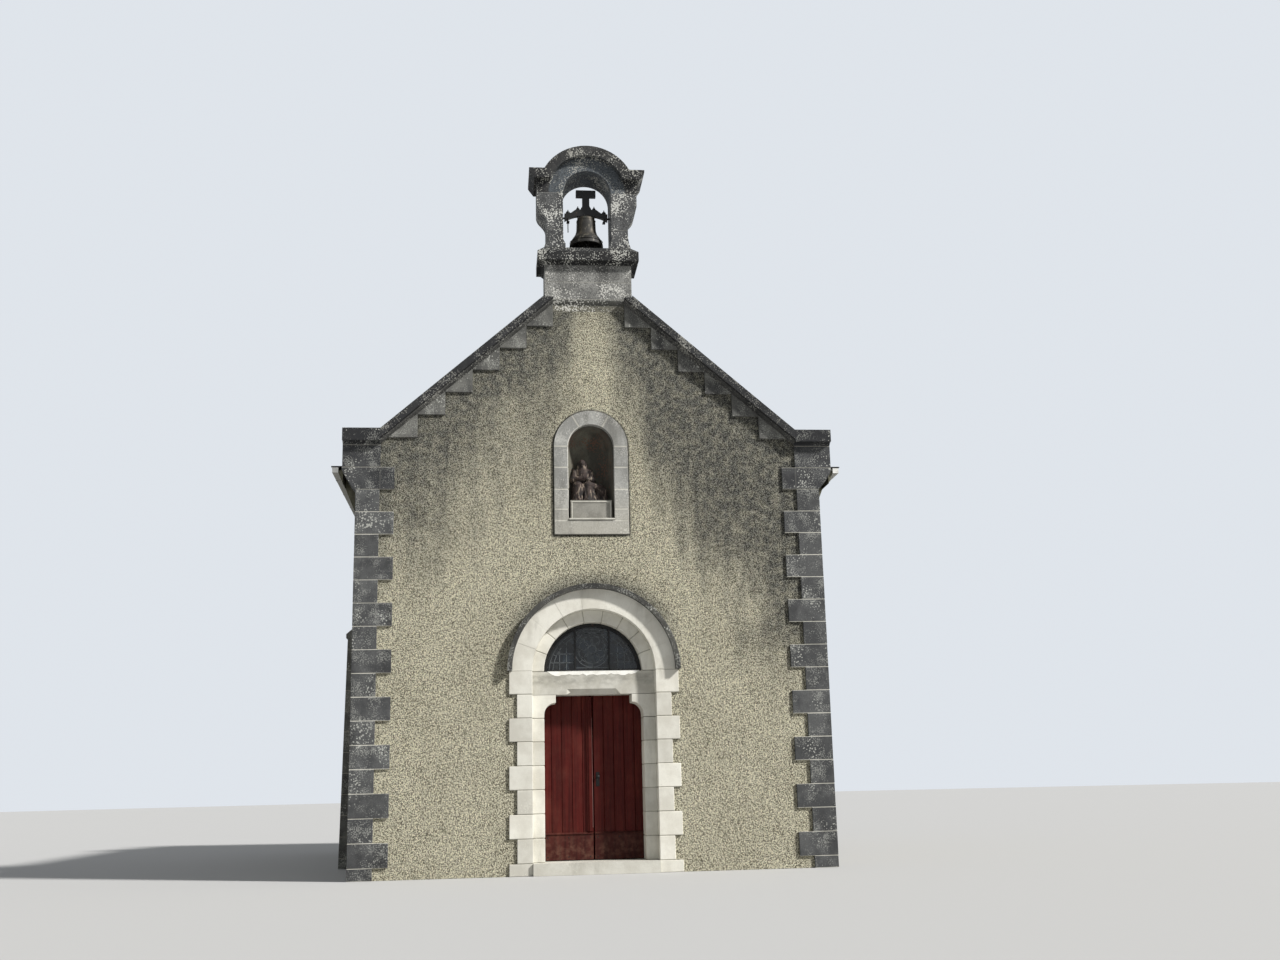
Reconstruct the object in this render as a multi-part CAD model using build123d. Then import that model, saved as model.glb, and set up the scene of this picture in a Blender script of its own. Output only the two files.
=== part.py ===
"""Small chapel: a single nave behind a gabled stone front with a round-arched portal and a bell-cote.

Millimetres. X runs to the right, Y into the building and Z up. The origin is the middle of the
floor slab's underside, at ground level. Pieces of the front are drawn with the face of the
quoins at Y = 0, then moved to the front; pieces of the rear are the same, mirrored.
"""

from build123d import *
import os
from math import cos, radians, sqrt, tan

os.makedirs("parts", exist_ok=True)

# Plan
width = 6200
length = 9400
wall_thickness = 550
render_setback = 30

# Heights, all from the ground
course = 300
sill_height = 150
side_courses = 16
corbel_bottom = sill_height + side_courses * course
corbel_top = corbel_bottom + course
seat_gap = 0.3

# Quoins
quoin_long = 500
quoin_short = 310

# Gable, with its coping parallel to the roof
roof_pitch = 41
coping_thickness = 140
coping_moulding = 40
coping_out = 100
coping_inner_out = 60
coping_inner_rise = 80
kneeler_out = 185
kneeler_width = 315
kneeler_height = 510
kneeler_set_in = 5
flare_reach = 99
flare_rise = 120
corbel_lip = 39
cap_height = 200
cap_moulding = 35
step_first = 490
step_count = 6
step_end_gap = 117
step_toe = 20
step_depth = 300

# Roof and eaves
parapet_upstand = 100
roof_drop = 210
sprocket_back = 500
eave_reach = 305
eave_lip_out = 245
eave_rise = 100
soffit_drop = 400
eave_edge = 60
ridge_radius = 110
ridge_thickness = 22
ridge_drop = 82
cornice_set_in = 250
gutter_width = 80
gutter_depth = 70
gutter_wall = 4
gutter_rise = 30
gutter_overhang = 400
return_set_back = 30

# Buttresses and side windows
buttress_centre = 3250
buttress_width = 500
buttress_top_out = 370
buttress_foot_out = 430
buttress_drip = 25
buttress_drip_height = 60
buttress_rise = 3240
window_sill_rise = 2200
window_glass_thickness = 12
window_glass_depth = 200

# Portal
portal_courses = 8
portal_outer = 1100
portal_ring_outer = 1080
portal_recess = 800
door_half = 645
recess_depth = 150
door_stop_depth = 470
rebate_half = 690
corbel_reach = 150
corbel_drop = 105
corbel_curve = 0.7
lintel_rear_rise = 40
hood_width = 42
hood_out = 90
sill_out = 40

# Door leaves
leaf_thickness = 54
leaf_gap = 6
leaf_top_lap = 25
meeting_gap = 12
floor_gap = 8
strip_width = 78
strip_thickness = 24
strip_set_back = 3
hinge_axis_out = 20
hinge_low = 330
hinge_high = 1760
knuckle_radius = 15
knuckle_height = 70
pin_radius = 8
pin_clearance = 0.06
strap_length = 480
strap_height = 48
strap_thickness = 8
pintle_plate = 90

# Fanlight
fanlight_depth = 330
fanlight_bar = 34
fanlight_frame_width = 42
fanlight_frame_thickness = 40
fanlight_mullion = 225
fanlight_mullion_width = 20
fanlight_glass_thickness = 10
glazing_gap = 2

# Niche, whose outline the side windows repeat
niche_half = 307
niche_outer_half = 497
niche_rise = 875
niche_straight = 1015
niche_sill_stone = 185
niche_reveal = 100
surround_depth = 250
pedestal_half = 278
pedestal_front = 70
pedestal_height = 290
statue_height = 590
statue_half = 205
statue_depth = 105

# Bell-cote
bellcote_half = 600
bellcote_depth = 530
die_rise = 60
string_height = 80
band_height = 90
die_height = 500
cornice_moulding = 40
cornice_moulding_out = 45
cornice_face = 130
cornice_out = 100
cornice_back_out = 20
weathering = 90
pier_height = 820
pier_foot_height = 20
pier_waist = 568
pier_waist_low = 260
pier_waist_high = 380
pier_head = 700
pier_head_drop = 160
bell_opening = 337
bell_opening_foot = 307
opening_foot = 60
hood_inner_radius = 540
hood_outer_radius = 680
crown_out = 90
crown_back_out = 40
ear_low = 190
ear_high = 330
ear_face = 35
ear_inner = 560
ear_splay = 735
ear_outer = 810

# Bell
bell_axis_rise = 550
bell_mouth = 237
bell_height = 430
bell_wall = 12
bell_lip = 26
bell_outside = ((1, 0), (0.985, 0.06), (0.93, 0.15), (0.8, 0.28), (0.7, 0.36), (0.62, 0.46),
                (0.575, 0.7), (0.527, 0.92))
bell_shoulder = (0.505, 0.975)
bell_crown = (0.42, 1)
neck_radius = 42
neck_height = 30
yoke_depth = 70
yoke_reach = 305
yoke_end_drop = 45
yoke_bow_drop = 15
yoke_post_foot = 180
yoke_steps = ((1, 0.33), (0.7, 0.4), (0.475, 0.69), (0.26, 0.69))
yoke_post_half = 50
yoke_bar_half = 140
yoke_bar_height = 96
yoke_bar_bottom = 323
gudgeon_radius = 14
gudgeon_length = 85
bearing_size = 90
bearing_depth = 70
clapper_rod = 10
clapper_ball = 36
lever_width = 30
lever_thickness = 12
lever_length = 210
lever_place = 262
swing_clearance = 6

# Sizes worked out from the ones above
half_width = width / 2
half_length = length / 2
render_half = half_width - render_setback
nave_half = half_width - wall_thickness
nave_half_length = half_length - wall_thickness
slope = tan(radians(roof_pitch))
kneeler_inner = half_width - kneeler_width
kneeler_face = half_width + kneeler_out
kneeler_top = corbel_top + kneeler_height
step_run = (kneeler_inner - step_first - step_end_gap) / step_count
bed_rise = coping_thickness / cos(radians(roof_pitch))
bed_apex = kneeler_top + slope * kneeler_inner - bed_rise
roof_apex = bed_apex - parapet_upstand
sprocket_start = half_width - sprocket_back
roof_break = roof_apex - slope * sprocket_start
eave_x = half_width + eave_reach
eave_top = corbel_top + eave_rise
cornice_inner = half_width - cornice_set_in
eave_lip = half_width + eave_lip_out
gutter_top = corbel_top + gutter_rise
gutter_end = nave_half_length + gutter_overhang
buttress_shoulder = sill_height + buttress_rise
window_sill = sill_height + window_sill_rise
portal_springing = sill_height + portal_courses * course
lintel_bottom = portal_springing - course
niche_sill = portal_springing + portal_outer + niche_rise
die_bottom = round(bed_apex - slope * step_first) + die_rise
die_top = die_bottom + die_height
band_bottom = die_bottom - string_height - band_height
pier_bottom = die_top + cornice_moulding + cornice_face + weathering
bell_springing = pier_bottom + pier_height
bell_axis = pier_bottom + bell_axis_rise
middle_y = bellcote_depth / 2
leaf_front = door_stop_depth + leaf_gap
leaf_back = leaf_front + leaf_thickness
hinge_x = rebate_half
hinge_y = wall_thickness + hinge_axis_out
leaf_bottom = sill_height + floor_gap
leaf_top = lintel_bottom + leaf_top_lap
hinge_heights = (sill_height + hinge_low, sill_height + hinge_high)


def block(x0, x1, y0, y1, z0, z1):
    """A box between two corners."""
    return Pos((x0 + x1) / 2, (y0 + y1) / 2, (z0 + z1) / 2) * Box(x1 - x0, y1 - y0, z1 - z0)


def through_front(sketch, y0, y1):
    """A front-view sketch, X across and Z up, made solid from y0 to y1."""
    plane = Plane(origin=(0, y0, 0), x_dir=(1, 0, 0), z_dir=(0, -1, 0))
    return extrude(plane * sketch, amount=y0 - y1)


def through_side(sketch, x0, x1):
    """A side-view sketch, Y across and Z up, made solid from x0 to x1."""
    plane = Plane(origin=(x0, 0, 0), x_dir=(0, 1, 0), z_dir=(1, 0, 0))
    return extrude(plane * sketch, amount=x1 - x0)


def outline(*points):
    """A filled shape with straight sides."""
    return make_face(Polyline(*points, close=True))


def half_disc(radius, z):
    """The upper half of a disc about a point on the centre line."""
    upper = Pos(0, radius / 2) * Rectangle(2 * radius, radius)
    return Pos(0, z) * (Circle(radius) & upper)


def half_ring(inner, outer, z):
    return half_disc(outer, z) - Pos(0, z) * Circle(inner)


def arched(half, bottom, springing):
    """A round-headed outline about the centre line."""
    head = Pos(0, springing) * Circle(half)
    return head + Pos(0, (bottom + springing) / 2) * Rectangle(2 * half, springing - bottom)


def to_front(shape):
    return Pos(0, -half_length, 0) * shape


def to_rear(shape):
    return mirror(to_front(shape), about=Plane.XZ)


def other_side(shape):
    return mirror(shape, about=Plane.YZ)


def gathered(shapes):
    """Like pieces that don't touch, as one shape."""
    return Compound([solid for shape in shapes for solid in shape.solids()])


def both_sides(shape):
    return Compound([*shape.solids(), *other_side(shape).solids()])


def save(name, shape):
    export_step(shape, f"parts/{name}.step")


def bed_height(x):
    """Height of the coping's bed at a distance from the centre line."""
    return bed_apex - slope * x


# Quoins: toothed corner columns, long and short on the front by turns

def quoin_column():
    column = block(half_width - quoin_short, half_width, 0, wall_thickness, 0, sill_height)
    for index in range(side_courses):
        low = sill_height + index * course
        if index % 2 == 0:
            stone = block(half_width - quoin_long, half_width, 0, quoin_short, low, low + course)
        else:
            stone = block(half_width - quoin_short, half_width, 0, wall_thickness, low, low + course)
        column += stone
    return column


quoin_right = quoin_column()
quoins = both_sides(quoin_right)
save("quoins_front", to_front(quoins))
save("quoins_rear", to_rear(quoins))


# Kneelers: a flared corbel stone, a block and a moulded cap at each foot of the gables

def kneeler():
    """A corbel stone with a hollow flare out to a lip, a block set in a little, and its cap."""
    quoin_edge = half_width - quoin_long
    foot = (half_width, corbel_bottom)
    lip = (kneeler_face, corbel_top - corbel_lip)
    flare = ThreePointArc(foot, (half_width + flare_reach, corbel_bottom + flare_rise), lip)
    rest = Polyline(
        lip, (kneeler_face, corbel_top), (quoin_edge, corbel_top), (quoin_edge, corbel_bottom), foot
    )
    corbel = through_front(make_face([flare, rest]), 0, wall_thickness)
    stone_face = kneeler_face - kneeler_set_in
    stone = block(kneeler_inner, stone_face, 0, wall_thickness, corbel_top, kneeler_top)
    cap_bottom = kneeler_top - cap_height
    fascia_bottom = cap_bottom + cap_moulding
    cap = through_side(
        outline(
            (0, cap_bottom),
            (-coping_out / 2, fascia_bottom),
            (-coping_out, fascia_bottom),
            (-coping_out, kneeler_top),
            (wall_thickness, kneeler_top),
            (wall_thickness, cap_bottom),
        ),
        kneeler_inner,
        stone_face,
    )
    return corbel + stone + cap


kneeler_right = kneeler()
kneelers = both_sides(kneeler_right)
save("kneelers_front", to_front(kneelers))
save("kneelers_rear", to_rear(kneelers))


# Copings: moulded slabs that run up both slopes of each gable

def coping(x_inner):
    section = outline(
        (0, 0),
        (-coping_out * 0.55, coping_moulding * 0.5),
        (-coping_out * 0.65, coping_moulding),
        (-coping_out, coping_moulding),
        (-coping_out, coping_thickness),
        (wall_thickness + coping_inner_out, coping_thickness),
        (wall_thickness + coping_inner_out, coping_inner_rise),
        (wall_thickness, coping_inner_rise),
        (wall_thickness, 0),
    )
    run = cos(radians(roof_pitch))
    fall = sqrt(1 - run * run)
    start = Plane(origin=(0, 0, bed_apex), x_dir=(0, 1, 0), z_dir=(run, 0, -fall))
    reach = 2 * kneeler_inner
    slab = extrude(start * section, amount=reach, both=True)
    return slab & block(x_inner, kneeler_inner, -reach, reach, 0, 2 * kneeler_top)


die = block(-bellcote_half, bellcote_half, 0, wall_thickness, die_bottom, die_top)
die_path = block(-bellcote_half, bellcote_half, -coping_out, wall_thickness + coping_inner_out,
                 die_bottom, die_top)
coping_right = coping(step_first) - die_path
save("copings_front", to_front(both_sides(coping_right)))
rear_coping = coping(0)
save("copings_rear", to_rear(rear_coping + other_side(rear_coping)))


# Gable steps: the stones that bond the copings into the roughcast

def gable_steps():
    points = [(step_first, bed_height(step_first))]
    x = step_first
    for index in range(step_count):
        x_next = x + step_run
        low = bed_height(x_next) - step_toe
        if index == step_count - 1:
            x_next = x + step_run + step_toe / slope
            x_next = min(x_next, kneeler_inner)
            low = bed_height(x_next)
        points.append((x, low))
        points.append((x_next, low))
        x = x_next
    return through_front(outline(*points), 0, step_depth)


steps_right = gable_steps()
steps = both_sides(steps_right)
save("gable_steps_front", to_front(steps))
save("gable_steps_rear", to_rear(steps))


# Front wall: two slabs beside the portal, and the gable over it with the niche

def gable_outline(low, top_x):
    """The right-hand outline of a gable wall, from its foot to the bed of the coping at top_x."""
    return [
        (render_half, low),
        (render_half, corbel_bottom),
        (half_width - quoin_long, corbel_bottom),
        (half_width - quoin_long, corbel_top),
        (kneeler_inner, corbel_top),
        (kneeler_inner, bed_height(kneeler_inner)),
        (top_x, bed_height(top_x)),
    ]


def niche_void(back):
    """The hollow behind the surround: straight jambs, then a half-round back and a shell head."""
    springing = niche_sill + niche_straight
    reveal = through_front(arched(niche_half, niche_sill, springing), 0, niche_reveal)
    apse_half = block(-niche_half, niche_half, niche_reveal, niche_reveal + back, niche_sill, 2 * springing)
    drum = Pos(0, niche_reveal, niche_sill + niche_straight / 2) * Cylinder(niche_half, niche_straight)
    shell = Pos(0, niche_reveal, springing) * Sphere(niche_half)
    return reveal + ((drum + shell) & apse_half)


right_points = gable_outline(portal_springing, step_first)
left_points = [(-x, z) for x, z in reversed(right_points)]
crest = [(step_first, band_bottom), (-step_first, band_bottom)]
upper_face = outline(*right_points, *crest, *left_points)
niche_springing = niche_sill + niche_straight
surround_bottom = niche_sill - niche_sill_stone
surround_outline = arched(niche_outer_half, surround_bottom, niche_springing)
hollow = niche_void(niche_half)
upper_wall = through_front(upper_face, render_setback, wall_thickness)
upper_wall -= through_front(half_disc(portal_ring_outer, portal_springing), 0, wall_thickness)
upper_wall -= through_front(surround_outline, 0, niche_reveal)
upper_wall -= hollow
for cutter in (quoins, steps):
    upper_wall -= cutter
save("front_wall_upper", to_front(upper_wall))

side_panel = block(portal_outer, render_half, render_setback, wall_thickness, 0, portal_springing)
side_panel -= quoin_right
save("front_wall_right", to_front(side_panel))
save("front_wall_left", to_front(other_side(side_panel)))

rear_points = gable_outline(0, 0)
rear_face = outline(*rear_points, *[(-x, z) for x, z in reversed(rear_points[:-1])])
rear_wall = through_front(rear_face, render_setback, wall_thickness)
for cutter in (quoins, steps):
    rear_wall -= cutter
save("rear_wall", to_rear(rear_wall))


# Side walls, with round-headed windows between the buttresses

bay_centres = (
    (-nave_half_length + buttress_width / 2 - half_length + buttress_centre - buttress_width) / 2,
    0,
    (nave_half_length - buttress_width / 2 + half_length - buttress_centre + buttress_width) / 2,
)
window_springing = window_sill + niche_straight
window_surround_outline = arched(niche_outer_half, window_sill - niche_sill_stone, window_springing)
window_outline = arched(niche_half, window_sill, window_springing)
surround_back = render_half - surround_depth


def along_side(sketch, x0, x1):
    """A window outline set into each bay of the right-hand wall."""
    return [through_side(Pos(bay, 0) * sketch, x0, x1) for bay in bay_centres]


wall_profile = outline(
    (nave_half, 0),
    (render_half, 0),
    (render_half, corbel_bottom),
    (cornice_inner, corbel_bottom),
    (cornice_inner, corbel_top),
    (nave_half, corbel_top),
)
side_wall = through_front(wall_profile, -nave_half_length, nave_half_length)
for cut in along_side(window_surround_outline, surround_back, half_width):
    side_wall -= cut
for cut in along_side(window_outline, 0, half_width):
    side_wall -= cut
save("side_wall_right", side_wall)
save("side_wall_left", other_side(side_wall))

surrounds = along_side(window_surround_outline - window_outline, surround_back, half_width)
save("window_surrounds", both_sides(gathered(surrounds)))
glass_face = arched(niche_half - glazing_gap / 2, window_sill + glazing_gap / 2, window_springing)
glass_outer = half_width - window_glass_depth
panes = along_side(glass_face, glass_outer - window_glass_thickness, glass_outer)
save("window_glass", both_sides(gathered(panes)))


# Buttresses: battered, with a sloping cap that drips clear of the face

def buttress(centre):
    shoulder_out = buttress_top_out + buttress_drip + render_setback
    profile = outline(
        (render_half, 0),
        (half_width + buttress_foot_out, 0),
        (half_width + buttress_top_out, buttress_shoulder - buttress_drip_height),
        (half_width + buttress_top_out + buttress_drip, buttress_shoulder - buttress_drip_height),
        (half_width + buttress_top_out + buttress_drip, buttress_shoulder),
        (render_half, buttress_shoulder + slope * shoulder_out),
    )
    return through_front(profile, centre - buttress_width / 2, centre + buttress_width / 2)


buttress_pair = [buttress(side * (half_length - buttress_centre)) for side in (-1, 1)]
save("buttresses", both_sides(gathered(buttress_pair)))


# Floor and sill

floor_slab = block(-nave_half, nave_half, -nave_half_length, nave_half_length, 0, sill_height)
save("floor_slab", floor_slab)
door_sill = block(-portal_recess, portal_recess, -sill_out, wall_thickness, 0, sill_height)
save("door_sill", to_front(door_sill))


# Portal: two orders of jambs with corbels that carry the lintel, and two orders of arch

def portal_jamb():
    outer = block(portal_recess, portal_outer, 0, wall_thickness, 0, portal_springing)
    inner = block(door_half, portal_recess, recess_depth, door_stop_depth, sill_height, lintel_bottom)
    cheek = block(rebate_half, portal_recess, door_stop_depth, wall_thickness,
                  sill_height, lintel_bottom)
    inner_low = lintel_bottom - course
    tip = door_half - corbel_reach
    curve_top = lintel_bottom - corbel_drop
    curve = ThreePointArc(
        (tip, curve_top),
        (tip + corbel_reach * corbel_curve, curve_top - corbel_reach * (1 - corbel_curve)),
        (door_half, curve_top - corbel_reach),
    )
    sides = Polyline(
        (door_half, curve_top - corbel_reach),
        (door_half, inner_low),
        (portal_recess, inner_low),
        (portal_recess, lintel_bottom),
        (tip, lintel_bottom),
        (tip, curve_top),
    )
    corbel = through_front(make_face([curve, sides]), recess_depth, door_stop_depth)
    return outer + inner + cheek + corbel


jamb_right = portal_jamb()
save("portal_jamb_right", to_front(jamb_right))
save("portal_jamb_left", to_front(other_side(jamb_right)))

lintel = block(-portal_recess, portal_recess, recess_depth, door_stop_depth,
               lintel_bottom, portal_springing)
lintel += block(-portal_recess, portal_recess, door_stop_depth, wall_thickness,
                lintel_bottom + lintel_rear_rise, portal_springing)
save("door_lintel", to_front(lintel))

outer_arch = through_front(
    half_ring(portal_recess, portal_ring_outer, portal_springing), 0, wall_thickness
)
save("portal_arch", to_front(outer_arch))
inner_arch = through_front(
    half_ring(door_half, portal_recess, portal_springing), recess_depth, door_stop_depth
)
save("portal_inner_arch", to_front(inner_arch))
hood = through_front(
    half_ring(portal_ring_outer, portal_ring_outer + hood_width, portal_springing),
    -hood_out,
    render_setback,
)
hood += through_front(
    half_ring(portal_ring_outer - hood_width / 2, portal_ring_outer, portal_springing), -hood_out, 0
)
save("hood_mould", to_front(hood))


# Fanlight: an iron half-round frame with two upright bars, and its glass

frame_outer = door_half - glazing_gap / 2
frame_inner = frame_outer - fanlight_frame_width
frame_y = (fanlight_depth, fanlight_depth + fanlight_frame_thickness)
frame_face = half_ring(frame_inner, frame_outer, portal_springing)
frame_foot = Pos(0, portal_springing + fanlight_bar / 2) * Rectangle(2 * frame_inner + 4, fanlight_bar)
fanlight_frame = through_front(frame_face + frame_foot, *frame_y)
mullion_top = sqrt(frame_inner**2 - fanlight_mullion**2)
for side in (-1, 1):
    middle = side * fanlight_mullion
    fanlight_frame += block(
        middle - fanlight_mullion_width / 2,
        middle + fanlight_mullion_width / 2,
        *frame_y,
        portal_springing + fanlight_bar / 2,
        portal_springing + mullion_top + fanlight_mullion_width / 2,
    )
glass_y = fanlight_depth + fanlight_frame_thickness
pane = half_disc(frame_outer - glazing_gap, portal_springing)
save("fanlight_frame", to_front(fanlight_frame))
save("fanlight_glass", to_front(through_front(pane, glass_y, glass_y + fanlight_glass_thickness)))


# Niche: dressed surround, pedestal and a seated figure in a veil and a full robe

niche_ring = through_front(
    surround_outline - arched(niche_half, niche_sill, niche_springing), 0, niche_reveal
)
save("niche_surround", to_front(niche_ring))
pedestal_back = niche_reveal + niche_half
pedestal = block(-pedestal_half, pedestal_half, pedestal_front, pedestal_back,
                 niche_sill, niche_sill + pedestal_height)
pedestal &= Pos(0, niche_reveal, niche_sill + pedestal_height / 2) * Cylinder(
    niche_half - seat_gap, pedestal_height
)
save("niche_pedestal", to_front(pedestal))


def robe_ring(height_share, half_share, depth_share):
    plan = Ellipse(statue_half * half_share, statue_depth * depth_share)
    return Pos(0, 0, statue_height * height_share) * plan


robe = loft([
    robe_ring(0, 1, 1),
    robe_ring(0.3, 0.92, 1),
    robe_ring(0.42, 0.66, 0.8),
    robe_ring(0.7, 0.56, 0.62),
    robe_ring(0.78, 0.3, 0.45),
])
head_radius = statue_height * 0.12
head = Pos(0, 0, statue_height - head_radius) * Sphere(head_radius)
statue_place = (0, pedestal_front + statue_depth + render_setback, niche_sill + pedestal_height)
save("niche_statue", to_front(Pos(*statue_place) * (robe + head)))


# Roof: two slopes that flatten over the eaves, a ridge, cornices and gutters

def roof_slope():
    under_apex = roof_apex - roof_drop
    foot = corbel_top + seat_gap
    profile = outline(
        (0, roof_apex),
        (sprocket_start, roof_break),
        (eave_x, eave_top),
        (eave_x, eave_top - eave_edge),
        (eave_lip - eave_edge, eave_top - eave_edge),
        (eave_lip - eave_edge, foot),
        ((under_apex - foot) / slope, foot),
        (0, under_apex),
    )
    return through_front(profile, -nave_half_length, nave_half_length)


roof_right = roof_slope()
save("roof_right", roof_right)
save("roof_left", other_side(roof_right))

ridge_seat = roof_apex + seat_gap / cos(radians(roof_pitch))
ridge_reach = 4 * ridge_radius
ridge_low = outline((0, ridge_seat), (ridge_reach, ridge_seat - ridge_reach * slope),
                    (-ridge_reach, ridge_seat - ridge_reach * slope))
ridge_body = Pos(0, roof_apex - ridge_drop) * Circle(ridge_radius + ridge_thickness)
ridge = through_front(ridge_body - ridge_low, -nave_half_length, nave_half_length)
save("ridge", ridge)


def soffit_height(x):
    """Height of the sloping soffit at a distance from the centre line."""
    foot = corbel_bottom - soffit_drop
    rise = corbel_top - corbel_lip - foot
    return foot + rise * (x - render_half) / (eave_lip - render_half)


eave_face = outline(
    (render_half, soffit_height(render_half)),
    (eave_lip, soffit_height(eave_lip)),
    (eave_lip, corbel_top),
    (cornice_inner, corbel_top),
    (cornice_inner, corbel_bottom),
    (render_half, corbel_bottom),
)
eave_cornice = through_front(eave_face, -nave_half_length, nave_half_length)
return_inner = kneeler_face + seat_gap
return_face = outline(
    (return_inner, soffit_height(return_inner)),
    (eave_lip, soffit_height(eave_lip)),
    (eave_lip, corbel_top),
    (return_inner, corbel_top),
)
return_end = gutter_end - return_set_back
eave_cornice += through_front(return_face, -return_end, return_end)
save("eaves_cornices", both_sides(eave_cornice))

gutter_near = eave_lip + seat_gap
gutter_far = gutter_near + gutter_width
gutter_bottom = gutter_top - gutter_depth
gutter = block(gutter_near, gutter_far, -gutter_end, gutter_end, gutter_bottom, gutter_top)
gutter -= block(
    gutter_near + gutter_wall,
    gutter_far - gutter_wall,
    -gutter_end + gutter_wall,
    gutter_end - gutter_wall,
    gutter_bottom + gutter_wall,
    gutter_top,
)
save("gutters", both_sides(gutter))


# Bell-cote: base, cornice, two piers and the arched crown

string_profile = make_face([
    ThreePointArc(
        (0, die_bottom),
        (render_setback / 4, die_bottom - string_height / 2),
        (render_setback, die_bottom - string_height),
    ),
    Polyline(
        (render_setback, die_bottom - string_height),
        (render_setback, band_bottom),
        (wall_thickness, band_bottom),
        (wall_thickness, die_bottom),
        (0, die_bottom),
    ),
])
base = through_side(string_profile, -step_first, step_first) + die
save("bellcote_base", to_front(base))


def plan_at(out, back, z):
    """The bell-cote's plan, grown by out in front and at both sides and reaching to back."""
    return Pos(0, (back - out) / 2, z) * Rectangle(2 * (bellcote_half + out), back + out)


slab_bottom = die_top + cornice_moulding
slab_top = slab_bottom + cornice_face
slab_back = wall_thickness + cornice_back_out
cornice = loft([
    plan_at(0, wall_thickness, die_top),
    plan_at(cornice_moulding_out, wall_thickness + cornice_back_out / 2, slab_bottom),
])
cornice += extrude(plan_at(cornice_out, slab_back, slab_bottom), amount=cornice_face)
cornice += loft([
    plan_at(cornice_out, slab_back, slab_top),
    plan_at(seat_gap, bellcote_depth + seat_gap, pier_bottom),
])
save("bellcote_cornice", to_front(cornice))


def bellcote_pier():
    """A pier that narrows to a waist, then swells to the block that carries the arch."""
    foot_top = pier_bottom + pier_foot_height
    waist_low = pier_bottom + pier_waist_low
    waist_high = pier_bottom + pier_waist_high
    head_low = bell_springing - pier_head_drop
    sweep = Spline(
        (bellcote_half, foot_top), (pier_waist, waist_low), tangents=[(-1, 2), (0, 1)]
    )
    swell = Spline((pier_waist, waist_high), (pier_head, head_low), tangents=[(0, 1), (0, 1)])
    rest = Polyline(
        (pier_head, head_low),
        (pier_head, bell_springing),
        (bell_opening, bell_springing),
        (bell_opening, pier_bottom + 2 * opening_foot),
        (bell_opening_foot, pier_bottom + opening_foot),
        (bell_opening_foot, pier_bottom),
        (bellcote_half, pier_bottom),
        (bellcote_half, foot_top),
    )
    waist = Line((pier_waist, waist_low), (pier_waist, waist_high))
    return through_front(make_face([sweep, waist, swell, rest]), 0, bellcote_depth) - bearing_block()


def bearing_block():
    """The bearing let into the inner side of a pier, on the bell's axis."""
    half = bearing_size / 2
    return block(bell_opening, bell_opening + bearing_depth, middle_y - half, middle_y + half,
                 bell_axis - half, bell_axis + half)


pier_right = bellcote_pier()
save("bellcote_pier_right", to_front(pier_right))
save("bellcote_pier_left", to_front(other_side(pier_right)))

arch_head = half_disc(hood_outer_radius, bell_springing)
arch_head += Pos(0, bell_springing + ear_low / 2) * Rectangle(2 * pier_head, ear_low)
arch_head -= Pos(0, bell_springing) * Circle(bell_opening)
ear = outline(
    (ear_inner, bell_springing + ear_low),
    (ear_splay, bell_springing + ear_low),
    (ear_outer, bell_springing + ear_high - ear_face),
    (ear_outer, bell_springing + ear_high),
    (ear_inner, bell_springing + ear_high),
)
below_ears = Pos(0, bell_springing) * Rectangle(4 * hood_outer_radius, 2 * ear_low)
hood_ring = half_ring(hood_inner_radius, hood_outer_radius, bell_springing) - below_ears
crown = through_front(arch_head, 0, bellcote_depth)
for hood_piece in (hood_ring, ear, other_side(ear)):
    crown += through_front(hood_piece, -crown_out, bellcote_depth + crown_back_out)
save("bellcote_crown", to_front(crown))


# Bell, on a yoke whose gudgeons turn in the bearings

def across(radius, x0, x1):
    """A round bar along X on the bell's axis."""
    bar = Rot(0, 90, 0) * Cylinder(radius, x1 - x0)
    return Pos((x0 + x1) / 2, middle_y, bell_axis) * bar


bearing = bearing_block() - across(gudgeon_radius + pin_clearance, 0, half_width)
save("bell_bearings", to_front(both_sides(bearing)))


def bell_shell():
    """The bell, mouth down, with a short neck that seats against the yoke."""
    outside = [(bell_mouth * r, bell_height * h) for r, h in bell_outside]
    inside = [(r - bell_wall, h) for r, h in outside[3:]]
    shoulder, crown_edge = [(bell_mouth * r, bell_height * h) for r, h in (bell_shoulder, bell_crown)]
    ceiling = bell_height - 1.5 * bell_wall
    inner_edge = (crown_edge[0] - bell_wall, ceiling)
    mouth_edge = (bell_mouth - bell_lip, 0)
    profile = make_face([
        Spline(*outside),
        ThreePointArc(outside[-1], shoulder, crown_edge),
        Polyline(crown_edge, (0, bell_height), (0, ceiling), inner_edge),
        Spline(inner_edge, *reversed(inside), mouth_edge),
        Line(mouth_edge, outside[0]),
    ])
    shell = revolve(Plane.XZ * profile, Axis.Z)
    neck_low = bell_height - bell_wall
    neck_top = bell_height + neck_height - seat_gap
    return shell + Pos(0, 0, (neck_low + neck_top) / 2) * Cylinder(neck_radius, neck_top - neck_low)


bell_place = Pos(0, middle_y, bell_axis - bell_height)
save("bell", to_front(bell_place * bell_shell()))


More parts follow.
